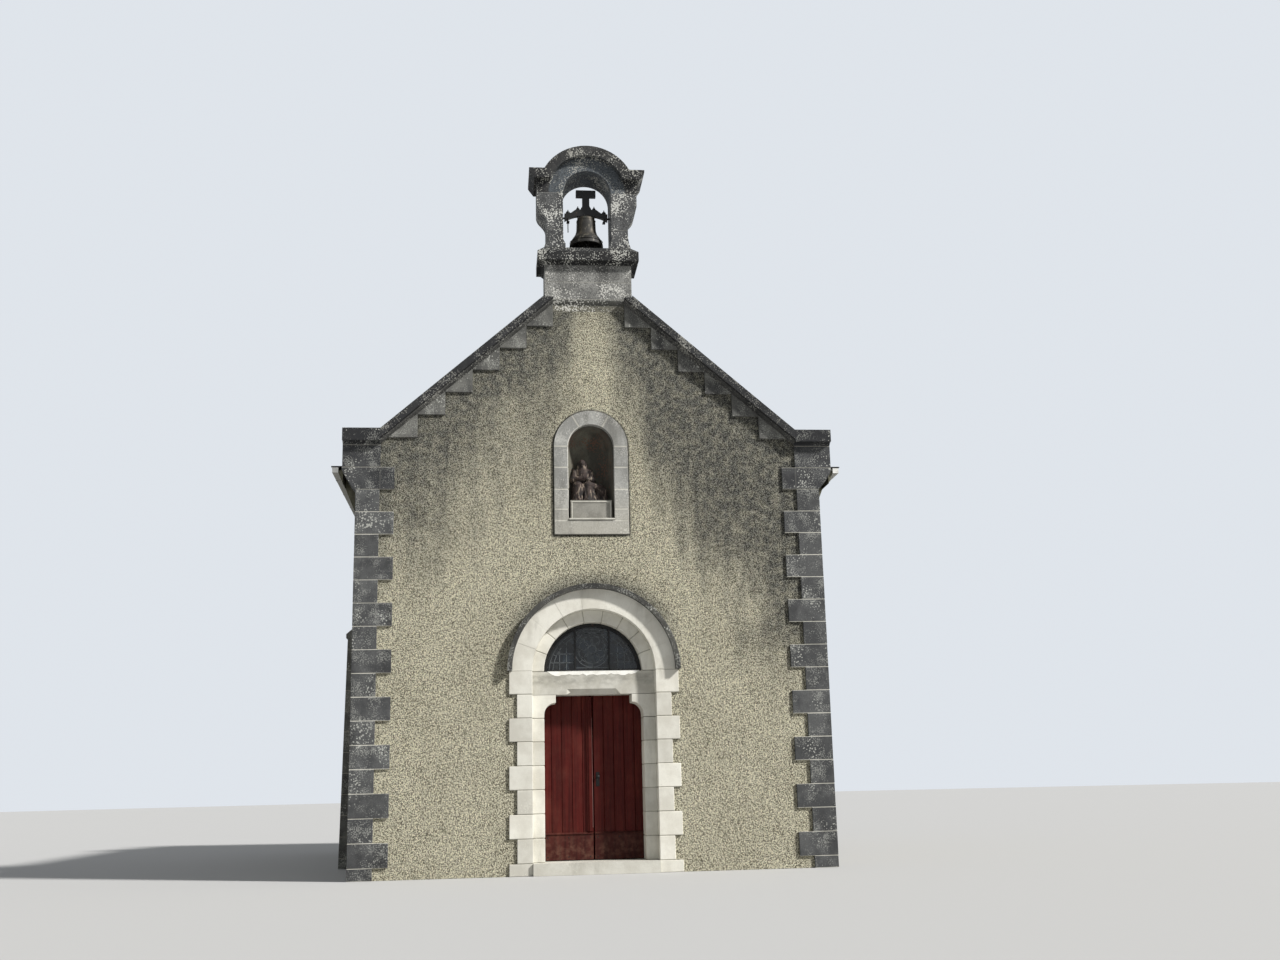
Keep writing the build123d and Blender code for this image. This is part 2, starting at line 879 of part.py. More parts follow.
def yoke():
    """A cast beam with stepped arms, a post and a top bar, and a gudgeon at each end."""
    bar_top = yoke_bar_bottom + yoke_bar_height
    tip = (yoke_reach, -yoke_end_drop)
    seat = (yoke_post_half, neck_height)
    bow = ((yoke_post_half + yoke_reach) / 2, yoke_bow_drop)
    right = [tip, *[(yoke_reach * x, yoke_post_foot * z) for x, z in yoke_steps]]
    right += [
        (yoke_post_half, yoke_post_foot),
        (yoke_post_half, yoke_bar_bottom),
        (yoke_bar_half, yoke_bar_bottom),
        (yoke_bar_half, bar_top),
    ]
    left = [(-x, z) for x, z in reversed(right)]
    face = make_face([
        ThreePointArc((-tip[0], tip[1]), (-bow[0], bow[1]), (-seat[0], seat[1])),
        Line((-seat[0], seat[1]), seat),
        ThreePointArc(seat, bow, tip),
        Polyline(*right, *left),
    ])
    body = through_front(Pos(0, bell_axis) * face, middle_y - yoke_depth / 2, middle_y + yoke_depth / 2)
    pin_end = yoke_reach + gudgeon_length
    body += across(gudgeon_radius, yoke_reach - gudgeon_radius, pin_end)
    body += across(gudgeon_radius, -pin_end, -yoke_reach + gudgeon_radius)
    return body


save("bell_yoke", to_front(yoke()))

clapper_top = bell_axis - 1.5 * bell_wall
clapper_low = bell_axis - bell_height + clapper_ball
clapper = Pos(0, middle_y, (clapper_top + clapper_low) / 2) * Cylinder(
    clapper_rod, clapper_top - clapper_low
)
clapper += Pos(0, middle_y, clapper_low) * Sphere(clapper_ball)
save("bell_clapper", to_front(clapper))

lever = block(-lever_place, -lever_place + lever_thickness, middle_y - lever_width / 2,
              middle_y + lever_width / 2, bell_axis - lever_length, bell_axis)
lever -= yoke()
save("bell_lever", to_front(lever))


# Door: two leaves on strap hinges that open into the nave, with a cover strip where they meet

def door_leaf():
    return block(meeting_gap / 2, rebate_half - leaf_gap, leaf_front, leaf_back,
                 leaf_bottom, leaf_top)


def hinge_strap(z):
    """A strap on the inner face with its knuckle round the pintle."""
    half = strap_height / 2
    strap = block(hinge_x - strap_length, hinge_x - knuckle_radius / 2, leaf_back,
                  leaf_back + strap_thickness, z - half, z + half)
    link = block(hinge_x - knuckle_radius, hinge_x, leaf_back, hinge_y, z - half, z + half)
    knuckle = Pos(hinge_x, hinge_y, z) * Cylinder(knuckle_radius, knuckle_height)
    bore = Pos(hinge_x, hinge_y, z) * Cylinder(pin_radius + pin_clearance, 2 * knuckle_height)
    return strap + link + knuckle - bore


def pintle(z):
    """The pin that stands in the knuckle, on a plate fixed to the wall's inner face."""
    foot = z - knuckle_height / 2 - seat_gap
    pin = Pos(hinge_x, hinge_y, foot + knuckle_height / 2) * Cylinder(pin_radius, knuckle_height)
    arm = block(hinge_x - pin_radius, hinge_x + pintle_plate / 2, hinge_y - pin_radius,
                hinge_y + pin_radius, foot - 2 * pin_radius, foot)
    plate = block(hinge_x + knuckle_radius + swing_clearance, hinge_x + pintle_plate, wall_thickness,
                  hinge_y - pin_radius / 2, foot - pintle_plate / 2, foot + pintle_plate / 2)
    return pin + arm + plate


leaf_right = door_leaf()
save("door_leaf_right", to_front(leaf_right))
save("door_leaf_left", to_front(other_side(leaf_right)))
straps_right = gathered([hinge_strap(z) for z in hinge_heights])
save("door_hinges_right", to_front(straps_right))
save("door_hinges_left", to_front(other_side(straps_right)))
pintles = gathered([pintle(z) for z in hinge_heights])
save("door_pintles", to_front(both_sides(pintles)))
strip_edge = -meeting_gap / 2 - strip_set_back
cover_strip = block(strip_edge - strip_width, strip_edge, leaf_front - strip_thickness, leaf_front,
                    leaf_bottom, lintel_bottom - swing_clearance)
save("door_cover_strip", to_front(cover_strip))
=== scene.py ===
"""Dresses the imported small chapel: stones, boards, slates, leads and finishes, lights and camera.

Metres, in the model's own frame: X to the right, Y into the building, Z up from the ground.
"""

import random
from math import cos, pi, radians, sin, sqrt, tan

import bmesh
import bpy
from mathutils import Matrix, Vector


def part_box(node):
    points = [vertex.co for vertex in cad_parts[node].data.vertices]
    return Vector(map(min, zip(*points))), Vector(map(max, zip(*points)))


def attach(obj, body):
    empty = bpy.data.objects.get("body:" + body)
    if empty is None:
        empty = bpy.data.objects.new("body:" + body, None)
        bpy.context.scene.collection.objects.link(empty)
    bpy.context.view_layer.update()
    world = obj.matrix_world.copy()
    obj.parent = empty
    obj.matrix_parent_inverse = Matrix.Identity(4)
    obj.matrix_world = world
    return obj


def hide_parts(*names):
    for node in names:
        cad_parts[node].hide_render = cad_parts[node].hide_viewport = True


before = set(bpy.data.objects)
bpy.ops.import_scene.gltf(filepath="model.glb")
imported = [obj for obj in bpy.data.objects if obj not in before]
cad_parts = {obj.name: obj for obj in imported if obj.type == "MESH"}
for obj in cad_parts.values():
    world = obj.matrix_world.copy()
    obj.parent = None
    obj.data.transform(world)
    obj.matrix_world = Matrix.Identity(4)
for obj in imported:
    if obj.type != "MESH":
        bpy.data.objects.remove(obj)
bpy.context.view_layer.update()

random.seed(11)

# Sizes that repeat the model's own
half_width = 3.1
front = -4.7
wall = 0.55
inner_front = front + wall
course = 0.3
quoin_long = 0.5
quoin_short = 0.31
sill_top = 0.15
side_courses = 16
step_first = 0.49
step_run = 0.363
step_count = 6
step_toe = 0.02
roof_pitch = radians(41)
slope = tan(roof_pitch)
bed_apex = 7.99546
springing = 2.55
lintel_bottom = 2.25
door_half = 0.645
portal_half = 0.8
portal_outer = 1.08
portal_edge = 1.1
ring_face = front + 0.15
ring_back = front + 0.47
niche_sill = 4.525
niche_springing = 5.54
niche_half = 0.307
niche_outer = 0.497
niche_sill_depth = 0.185
window_sill = 2.35
window_springing = 3.365
crown_springing = 9.21
bell_axis = 8.94
bell_y = front + 0.265
roof_apex = bed_apex - 0.1
roof_half_length = 4.15
render_set_back = 0.03

# Joints between dressed stones, their broken edges, and how far one piece seats in another
joint = 0.008
arris = 0.006
seat = 0.002

sides = ((-1, "left"), (1, "right"))
ends = ((-1, "front"), (1, "rear"))


# Node helpers

def shade(red, green, blue):
    """A colour from its everyday 0 to 255 values."""
    def straight(value):
        part = value / 255
        return part / 12.92 if part <= 0.04045 else ((part + 0.055) / 1.055) ** 2.4
    return (straight(red), straight(green), straight(blue), 1)


def add_node(tree, kind, inputs=(), **settings):
    """A node with its settings, and with a value or a link for each input that is named."""
    made = tree.nodes.new(kind)
    for name, value in settings.items():
        setattr(made, name, value)
    for name, value in dict(inputs).items():
        if isinstance(value, bpy.types.NodeSocket):
            tree.links.new(value, made.inputs[name])
        else:
            made.inputs[name].default_value = value
    return made


def calculate(tree, operation, first, second=0.0, third=0.0):
    inputs = {0: first, 1: second, 2: third}
    return add_node(tree, "ShaderNodeMath", inputs, operation=operation).outputs[0]


def ramp_between(tree, value, low, high):
    """0 below low, 1 above high and smooth between them."""
    inputs = {0: value, 1: low, 2: high}
    node = add_node(tree, "ShaderNodeMapRange", inputs, interpolation_type="SMOOTHSTEP")
    return node.outputs[0]


def effect(name, inputs, output):
    """An empty shader group with named inputs and one output value."""
    tree = bpy.data.node_groups.new(name, "ShaderNodeTree")
    for label, kind, value in inputs:
        socket = tree.interface.new_socket(label, in_out="INPUT", socket_type=kind)
        if value is not None:
            socket.default_value = value
    tree.interface.new_socket(output, in_out="OUTPUT", socket_type="NodeSocketFloat")
    entry = tree.nodes.new("NodeGroupInput")
    leave = tree.nodes.new("NodeGroupOutput")
    return tree, entry.outputs, leave.inputs[0]


VECTOR = ("Vector", "NodeSocketVector", None)


def number(label, value):
    return (label, "NodeSocketFloat", value)


def make_patches():
    """Large soft patches, stretched upright by Stretch under 1."""
    tree, given, out = effect("patches",
                              [VECTOR, number("Scale", 1), number("Stretch", 1), number("Low", 0.4),
                               number("High", 0.6)], "Mask")
    stretch = add_node(tree, "ShaderNodeCombineXYZ", {0: 1, 1: 1, 2: given["Stretch"]})
    place = add_node(tree, "ShaderNodeVectorMath", {0: given["Vector"], 1: stretch.outputs[0]},
                     operation="MULTIPLY")
    noise = add_node(tree, "ShaderNodeTexNoise",
                     {"Vector": place.outputs[0], "Scale": given["Scale"], "Detail": 5, "Roughness": 0.6})
    tree.links.new(ramp_between(tree, noise.outputs[0], given["Low"], given["High"]), out)
    return tree


def make_specks():
    """Round spots of uneven size that gather in places."""
    tree, given, out = effect("specks", [VECTOR, number("Scale", 40), number("Cover", 0.2)], "Mask")
    cells = add_node(tree, "ShaderNodeTexVoronoi", {"Vector": given["Vector"], "Scale": given["Scale"]})
    wide = calculate(tree, "MULTIPLY", given["Scale"], 0.09)
    noise = add_node(tree, "ShaderNodeTexNoise", {"Vector": given["Vector"], "Scale": wide, "Detail": 3})
    gather = calculate(tree, "MULTIPLY_ADD", noise.outputs[0], -1.6, 0.8)
    spread = calculate(tree, "ADD", cells.outputs["Distance"], gather)
    edge = calculate(tree, "ADD", given["Cover"], 0.09)
    hit = ramp_between(tree, spread, given["Cover"], edge)
    tree.links.new(calculate(tree, "SUBTRACT", 1.0, hit), out)
    return tree


def make_grain():
    """Height of a tooled or cast surface: fine grain with coarser hollows."""
    tree, given, out = effect("grain", [VECTOR, number("Scale", 60)], "Height")
    fine = add_node(tree, "ShaderNodeTexNoise",
                    {"Vector": given["Vector"], "Scale": given["Scale"], "Detail": 4})
    wide = calculate(tree, "MULTIPLY", given["Scale"], 0.2)
    coarse = add_node(tree, "ShaderNodeTexNoise", {"Vector": given["Vector"], "Scale": wide, "Detail": 2})
    height = calculate(tree, "MULTIPLY_ADD", coarse.outputs[0], 0.6, fine.outputs[0])
    tree.links.new(height, out)
    return tree


def make_bed_lines():
    """Level lines, one to a course from Start up, Width wide."""
    inputs = [VECTOR, number("Course", 0.3), number("Start", 0), number("Width", 0.008)]
    tree, given, out = effect("bed lines", inputs, "Mask")
    up = add_node(tree, "ShaderNodeSeparateXYZ", {0: given["Vector"]}).outputs[2]
    above = calculate(tree, "SUBTRACT", up, given["Start"])
    half, low, high = (calculate(tree, "MULTIPLY", given["Course"], share) for share in (0.5, 0.25, 0.75))
    near = calculate(tree, "PINGPONG", above, half)
    wide = calculate(tree, "SUBTRACT", 1.0, ramp_between(tree, near, 0.0, given["Width"]))
    whole = calculate(tree, "PINGPONG", above, given["Course"])
    by_a_bed = calculate(tree, "ADD", calculate(tree, "LESS_THAN", whole, low),
                         calculate(tree, "GREATER_THAN", whole, high))
    tree.links.new(calculate(tree, "MULTIPLY", wide, by_a_bed), out)
    return tree


patch_group = make_patches()
speck_group = make_specks()
grain_group = make_grain()
bed_line_group = make_bed_lines()


class Finish:
    """A material with its shader, and short ways to add nodes to it.

    A colour is a socket, or red, green and blue from 0 to 255.
    """

    def __init__(self, name, **values):
        self.material = bpy.data.materials.new(name)
        self.material.use_nodes = True
        self.tree = self.material.node_tree
        self.shader = self.tree.nodes["Principled BSDF"]
        self.place = add_node(self.tree, "ShaderNodeTexCoord").outputs["Object"]
        self.normal = None
        for label, value in values.items():
            self.shader.inputs[label.replace("_", " ")].default_value = value

    def add(self, kind, inputs, **settings):
        return add_node(self.tree, kind, inputs, **settings)

    def pattern(self, kind, **inputs):
        """A texture that keeps its place in the model's own frame."""
        return self.add(kind, {"Vector": self.place, **inputs})

    def mask(self, group, **inputs):
        return self.add("ShaderNodeGroup", {"Vector": self.place, **inputs}, node_tree=group).outputs[0]

    def patches(self, scale, low, high, stretch=1.0):
        return self.mask(patch_group, Scale=scale, Stretch=stretch, Low=low, High=high)

    def specks(self, scale, cover):
        return self.mask(speck_group, Scale=scale, Cover=cover)

    def lines(self, spacing, start, width):
        return self.mask(bed_line_group, Course=spacing, Start=start, Width=width)

    def mix(self, factor, first, second):
        first, second = (shade(*c) if isinstance(c, tuple) else c for c in (first, second))
        return self.add("ShaderNodeMix", {0: factor, 6: first, 7: second}, data_type="RGBA").outputs[2]

    def lay(self, colour, over, mask, share=1.0):
        """A colour with another over it where a mask is white, as strong as its share."""
        return self.mix(self.times(mask, share), colour, over)

    def math(self, operation, first, second=0.0, third=0.0):
        return calculate(self.tree, operation, first, second, third)

    def times(self, first, second):
        return self.math("MULTIPLY", first, second)

    def most(self, first, second):
        return self.math("MAXIMUM", first, second)

    def scaled(self, value, factor, base):
        return self.math("MULTIPLY_ADD", value, factor, base)

    def within(self, value, reach):
        """1 where a value is between minus and plus a reach."""
        return self.math("LESS_THAN", self.math("ABSOLUTE", value), reach)

    def ramp(self, value, low, high):
        return ramp_between(self.tree, value, low, high)

    def fall(self, value, low, high):
        """1 below low, 0 above high and smooth between them."""
        return self.math("SUBTRACT", 1.0, self.ramp(value, low, high))

    def axes(self):
        return self.add("ShaderNodeSeparateXYZ", {0: self.place}).outputs

    def reach(self, across, up):
        """The distance from a middle to a point that lies across and up from it."""
        across, up = (self.math("POWER", part, 2.0) for part in (across, up))
        return self.math("SQRT", self.math("ADD", across, up))

    def tint(self, colour, low, high):
        """Each stone or board a little lighter or darker than its neighbours."""
        given = self.add("ShaderNodeAttribute", (), attribute_name="tint").outputs["Fac"]
        value = self.add("ShaderNodeMapRange", {0: given, 3: low, 4: high}).outputs[0]
        return self.add("ShaderNodeHueSaturation", {"Color": colour, "Value": value}).outputs[0]

    def bump(self, height, distance, strength=1.0):
        inputs = {"Height": height, "Distance": distance, "Strength": strength}
        if self.normal is not None:
            inputs["Normal"] = self.normal
        self.normal = self.add("ShaderNodeBump", inputs).outputs[0]

    def roughen(self, scale, distance, strength=1.0):
        self.bump(self.mask(grain_group, Scale=scale), distance, strength)

    def sink(self, mask, depth):
        """Lowers the surface where a mask is white."""
        self.bump(self.math("SUBTRACT", 1.0, mask), depth)

    def done(self, colour=None, roughness=None, metallic=None):
        inputs = {"Base Color": colour, "Roughness": roughness, "Metallic": metallic, "Normal": self.normal}
        for label, value in inputs.items():
            if isinstance(value, bpy.types.NodeSocket):
                self.tree.links.new(value, self.shader.inputs[label])
            elif value is not None:
                self.shader.inputs[label].default_value = value
        return self.material


# Finishes

def dressed_stone(name, light, dark, soot, soot_range, spot, spot_cover, tinted=False, beds=None,
                  mortar=None, pit=0.004, fleck=0.3, fleck_scale=62, adjust=None):
    """Cut stone: mottled, sooted in runs, flecked and crusted with lichen, finely pitted."""
    finish = Finish(name)
    colour = finish.mix(finish.patches(3.5, 0.36, 0.64), light, dark)
    if tinted:
        colour = finish.tint(colour, 0.84, 1.14)
    if adjust:
        colour = adjust(finish, colour)
    colour = finish.lay(colour, soot, finish.patches(2.4, *soot_range, 0.25), 0.8)
    colour = finish.lay(colour, soot, finish.patches(fleck_scale * 1.2, 0.48, 0.62), fleck)
    colour = finish.lay(colour, spot, finish.specks(fleck_scale, 0.22), fleck)
    if beds:
        lines = finish.lines(*beds)
        colour = finish.mix(lines, colour, mortar)
        finish.sink(lines, 0.006)
    crust = finish.specks(34, spot_cover)
    colour = finish.lay(colour, spot, crust, 0.7)
    finish.roughen(90, pit, 0.8)
    return finish.done(colour, finish.scaled(crust, 0.06, 0.86))


def roughcast_finish():
    """Thrown lime roughcast outside, with old grey stains, painted shade and painted highlights; plain
    limewash inside.
    """
    finish = Finish("roughcast")
    x, y, z = finish.axes()
    colour = finish.mix(finish.patches(1.1, 0.3, 0.7), (234, 228, 199), (210, 204, 176))
    stain_and_shade = finish.most(front_stain_and_shade(finish, x, y, z), other_stain(finish, y, z))
    stain_and_shade = finish.times(stain_and_shade, finish.scaled(finish.patches(9, 0.35, 0.6), 0.3, 0.7))
    # Darker to the right, where it also paints in the shadow cast under the right coping.
    soot_and_shade_tone = finish.mix(finish.ramp(x, 0.3, 1.8), (86, 86, 80), (57, 58, 57))
    colour = finish.lay(colour, soot_and_shade_tone, stain_and_shade, 0.94)
    grit = finish.pattern("ShaderNodeTexNoise", Scale=84, Detail=2, Roughness=0.55).outputs[0]
    lumps = finish.pattern("ShaderNodeTexVoronoi", Scale=110).outputs["Distance"]
    lump = finish.scaled(lumps, -0.3, grit)
    # Painted light on the grain: painted shade in the hollows, a painted highlight on the crests.
    hollow = finish.fall(lump, 0.28, 0.335)
    lit_crest = finish.ramp(lump, 0.39, 0.435)
    colour = finish.lay(colour, finish.mix(stain_and_shade, (254, 249, 226), (160, 160, 149)), lit_crest, 0.75)
    colour = finish.lay(colour, finish.mix(stain_and_shade, (74, 68, 51), (18, 18, 17)), hollow, 0.94)
    # Painted shade in the gap round the niche's surround.
    niche_gap_shade = finish.times(niche_edge_shade(finish, x, z, 0.022), on_front(finish, y))
    colour = finish.lay(colour, (30, 28, 25), niche_gap_shade, 0.8)
    inside = finish.times(finish.within(x, half_width - wall + 0.01), finish.within(y, -inner_front + 0.01))
    wash = finish.mix(finish.patches(0.9, 0.4, 0.7), (222, 217, 202), (200, 193, 175))
    colour = finish.mix(inside, colour, wash)
    thrown = finish.math("SUBTRACT", 1.0, inside)
    finish.bump(finish.times(lump, thrown), 0.06)
    finish.roughen(30, 0.002)
    return finish.done(colour, 0.93)


def on_front(finish, y):
    return finish.ramp(y, front + 0.2, front + 0.1)


def front_stain_and_shade(finish, x, y, z):
    """Soot that hangs from the copings, lowest at the right, and rings the portal's hood, with painted
    shade round the niche's surround.
    """
    top = 9.0
    marks = ((0, 0.49), (0.145, 0.51), (0.3, 0.57), (0.4, 0.65), (0.5, 0.86), (0.573, 0.7), (0.645, 0.56),
             (0.742, 0.42), (0.855, 0.345), (1, 0.3))
    across = finish.add("ShaderNodeMapRange", {0: x, 1: -half_width, 2: half_width}).outputs[0]
    edge = finish.add("ShaderNodeValToRGB", {0: across})
    stops = edge.color_ramp.elements
    for position, _ in marks[1:-1]:
        stops.new(position)
    for stop, (_, level) in zip(stops, marks):
        stop.color = (level, level, level, 1)
    above = finish.math("SUBTRACT", z, finish.times(edge.outputs[0], top))
    wander = finish.pattern("ShaderNodeTexNoise", Scale=1.2, Detail=5, Roughness=0.62).outputs[0]
    above = finish.scaled(wander, 2.6, above)
    above = finish.scaled(finish.patches(3.2, 0.3, 0.7, 0.14), 0.8, above)
    hung = finish.ramp(above, 0.5, 2.9)
    halo = finish.fall(finish.reach(x, finish.math("SUBTRACT", z, springing)), 1.14, 1.36)
    halo = finish.times(halo, finish.ramp(z, 2.8, 3.4))
    both = finish.most(hung, finish.times(halo, 0.7))
    # Painted shade round the niche's surround, laid in with the soot.
    both = finish.most(both, finish.times(niche_edge_shade(finish, x, z), 0.85))
    return finish.times(both, on_front(finish, y))


def niche_reach(finish, x, z):
    """How far a point lies from the niche's middle line or, over its springing, from its middle."""
    return finish.reach(x, finish.most(finish.math("SUBTRACT", z, niche_springing), 0.0))


def niche_edge_shade(finish, x, z, width=0.045):
    """Painted shade in the narrow hollow where the roughcast meets the niche's surround."""
    beside = finish.math("SUBTRACT", niche_reach(finish, x, z), niche_outer)
    under = finish.math("SUBTRACT", niche_sill - niche_sill_depth, z)
    return finish.fall(finish.most(beside, under), 0.008, width)


def other_stain(finish, y, z):
    """Grey patches on the sides and the rear, stronger by the ground."""
    worn = finish.times(finish.patches(0.7, 0.4, 0.76, 0.45), 0.7)
    low = finish.times(finish.fall(z, 0.2, 1.1), 0.45)
    return finish.times(finish.most(worn, low), finish.ramp(y, front + 0.1, front + 0.2))


def iron_finish(name, colour, rust, cover, roughness):
    finish = Finish(name)
    rusty = finish.patches(26, cover, cover + 0.14)
    shown = finish.mix(rusty, colour, rust)
    finish.roughen(140, 0.0012)
    bare = finish.scaled(rusty, -0.5, 0.55)
    return finish.done(shown, finish.scaled(rusty, 0.3, roughness), bare)


def bronze_finish():
    finish = Finish("bell bronze")
    patina = finish.patches(8, 0.42, 0.62, 0.4)
    colour = finish.mix(patina, (70, 64, 54), (40, 38, 34))
    colour = finish.lay(colour, (84, 104, 92), finish.patches(20, 0.6, 0.72), 0.3)
    # Painted shade: the sound-bow near black towards the mouth.
    colour = finish.lay(colour, (24, 23, 21), finish.fall(finish.axes()[2], 8.59, 8.66), 0.85)
    # Painted highlights: pale streaks over the body.
    colour = finish.lay(colour, (150, 144, 128), finish.patches(26, 0.56, 0.66, 0.3), 0.35)
    finish.roughen(200, 0.0008)
    worn = finish.scaled(patina, -0.25, 0.4)
    return finish.done(colour, finish.scaled(patina, 0.2, 0.5), worn)


def boards_finish(name, light, dark, scuffed):
    """Red paint on boards: brush and grain lines upright, faded, scuffed low down."""
    finish = Finish(name, Specular_IOR_Level=0.12)
    z = finish.axes()[2]
    fine = finish.patches(30, 0.3, 0.7, 0.04)
    colour = finish.mix(fine, light, dark)
    colour = finish.tint(colour, 0.85, 1.2)
    faded = finish.patches(3, 0.45, 0.7, 0.6)
    colour = finish.lay(colour, (116, 60, 50), faded, 0.22)
    low = finish.fall(z, 0.25, 0.6)
    dirt = finish.patches(12, 0.4, 0.7)
    dirt = finish.times(dirt, finish.scaled(low, scuffed, 0.05))
    colour = finish.mix(dirt, colour, (116, 84, 70))
    finish.bump(fine, 0.0012)
    return finish.done(colour, finish.scaled(faded, 0.15, 0.55))


def ridge_finish():
    finish = Finish("ridge clay")
    colour = finish.mix(finish.patches(7, 0.35, 0.65), (142, 98, 80), (114, 82, 68))
    colour = finish.tint(colour, 0.8, 1.15)
    colour = finish.lay(colour, (104, 96, 84), finish.patches(2.4, 0.45, 0.62), 0.6)
    colour = finish.lay(colour, (190, 186, 160), finish.specks(22, 0.2), 0.7)
    finish.roughen(60, 0.003)
    return finish.done(colour, 0.88)


def slate_finish():
    """Split slate: each one its own blue-grey, with cleft ridges, lichen and old runs of damp."""
    finish = Finish("slates")
    colour = finish.mix(finish.patches(12, 0.35, 0.65), (92, 99, 110), (74, 80, 91))
    colour = finish.tint(colour, 0.7, 1.22)
    damp = finish.patches(1.3, 0.48, 0.7, 0.5)
    colour = finish.lay(colour, (86, 88, 76), damp, 0.45)
    crust = finish.specks(26, 0.1)
    colour = finish.lay(colour, (158, 160, 146), crust, 0.65)
    colour = finish.lay(colour, (92, 96, 62), finish.patches(5, 0.6, 0.72), 0.5)
    cleft = finish.patches(24, 0.3, 0.7, 0.3)
    finish.bump(cleft, 0.0015)
    finish.roughen(110, 0.001)
    return finish.done(colour, finish.scaled(crust, 0.3, 0.6))


def glass_finish(name, clear, tone, other_tone, dusty):
    """Old hammered church glass, each quarry a slightly different tone."""
    finish = Finish(name, Transmission_Weight=clear, IOR=1.5)
    panes = finish.pattern("ShaderNodeTexVoronoi", Scale=7.0)
    quarry = finish.add("ShaderNodeSeparateColor", {0: panes.outputs["Color"]}).outputs[0]
    colour = finish.mix(finish.ramp(quarry, 0.5, 0.8), tone, other_tone)
    dust = finish.patches(5, 0.4, 0.7)
    colour = finish.lay(colour, (108, 112, 108), dust, dusty)
    finish.roughen(45, 0.004)
    return finish.done(colour, finish.scaled(dust, 0.25, 0.16))


def painted_gutter_finish():
    """White paint, grey in patches, with painted shade on the underside, but clean at the stopped ends."""
    finish = Finish("white gutter paint")
    _, y, z = finish.axes()
    # Painted shade: darker low on the gutter's sides, but not at its ends.
    low = finish.times(finish.fall(z, 5.2, 5.275), finish.within(y, 4.546))
    grime_and_shade = finish.most(finish.patches(5, 0.5, 0.75, 2.5), low)
    colour = finish.mix(finish.times(grime_and_shade, 0.7), (236, 236, 232), (112, 111, 102))
    finish.roughen(40, 0.0006)
    return finish.done(colour, finish.scaled(grime_and_shade, 0.3, 0.34))


def flag_finish():
    """Stone flags in staggered rows, with worn middles and dark joints."""
    finish = Finish("floor flags")
    tones = {"Color1": shade(170, 163, 146), "Color2": shade(146, 140, 126), "Mortar": shade(96, 90, 78)}
    sizes = {"Scale": 1.0, "Mortar Size": 0.006, "Mortar Smooth": 0.3, "Brick Width": 0.62,
             "Row Height": 0.45}
    flags = finish.pattern("ShaderNodeTexBrick", **tones, **sizes)
    worn = finish.patches(2, 0.4, 0.65)
    colour = finish.lay(flags.outputs[0], (122, 116, 102), worn, 0.35)
    finish.sink(flags.outputs[1], 0.004)
    finish.roughen(40, 0.002)
    return finish.done(colour, finish.scaled(worn, -0.2, 0.75))


def figure_finish():
    finish = Finish("weathered figure")
    colour = finish.mix(finish.patches(14, 0.35, 0.65), (52, 38, 33), (26, 21, 18))
    # Pale patches, partly wear and partly painted highlights.
    colour = finish.lay(colour, (140, 126, 112), finish.patches(26, 0.53, 0.62, 0.35), 0.7)
    finish.bump(finish.patches(34, 0.3, 0.7, 0.12), 0.004)
    finish.roughen(120, 0.002)
    return finish.done(colour, 0.8)


def plain_wood_finish():
    finish = Finish("roof boards")
    lines = finish.lines(0.16, 0.0, 0.006)
    streak = finish.patches(9, 0.3, 0.7, 3)
    colour = finish.mix(streak, (132, 104, 74), (104, 80, 56))
    colour = finish.mix(lines, colour, (48, 38, 28))
    finish.sink(lines, 0.004)
    return finish.done(colour, 0.75)


def darker_cap(finish, colour):
    """The kneelers' moulded caps are blacker than the stones below, with a faint upright joint."""
    x, _, z = finish.axes()
    colour = finish.lay(colour, (21, 22, 25), finish.ramp(z, 5.54, 5.58), 0.95)
    off = finish.math("ABSOLUTE", finish.math("SUBTRACT", finish.math("ABSOLUTE", x), 2.785))
    upright = finish.times(finish.fall(off, 0.004, 0.009), finish.math("LESS_THAN", z, 5.25))
    return finish.lay(colour, (120, 119, 113), upright, 0.3)


def coping_joints(finish, colour):
    """Faint mortar joints across the copings, a dark shadow line, and a paler moulding below it."""
    stone_length, highest = 0.48, 8.0
    x, _, z = finish.axes()
    across = finish.math("ABSOLUTE", x)
    along = finish.scaled(z, -sin(roof_pitch), finish.times(across, cos(roof_pitch)))
    line = finish.fall(finish.math("PINGPONG", along, stone_length), 0.003, 0.009)
    line = finish.times(line, finish.math("LESS_THAN", z, highest))
    colour = finish.lay(colour, (150, 148, 140), line, 0.4)
    rise = finish.times(finish.math("SUBTRACT", z, bed_apex), cos(roof_pitch))
    rise = finish.scaled(across, sin(roof_pitch), rise)
    colour = finish.lay(colour, (16, 16, 17), finish.fall(rise, 0.046, 0.052), 0.85)
    return finish.lay(colour, (77, 77, 74), finish.fall(rise, 0.032, 0.038), 0.9)


def crown_shade_tones(finish, colour):
    """The bell-cote's hood is dark; its ears get near black painted shade, and the arch face under the hood
    a bluish grey painted shade.
    """
    x, _, z = finish.axes()
    reach = finish.reach(x, finish.math("SUBTRACT", z, crown_springing))
    # Painted shade: bluish grey under the hood, near black on the ears.
    colour = finish.mix(finish.fall(reach, 0.525, 0.55), colour, (82, 88, 93))
    return finish.lay(colour, (21, 21, 23), finish.ramp(finish.math("ABSOLUTE", x), 0.56, 0.62), 0.9)


def soot_and_shade_string(finish, colour):
    """The string under the bell-cote's die is sooted, with painted shade darkest in its hollow."""
    z = finish.axes()[2]
    string = finish.fall(z, 7.6, 7.64)
    # Painted shade: the upper hollow of the string darker than its face.
    hollow = finish.ramp(z, 7.52, 7.56)
    tone = finish.mix(hollow, (104, 101, 86), (58, 58, 51))
    return finish.lay(colour, tone, string, 0.85)


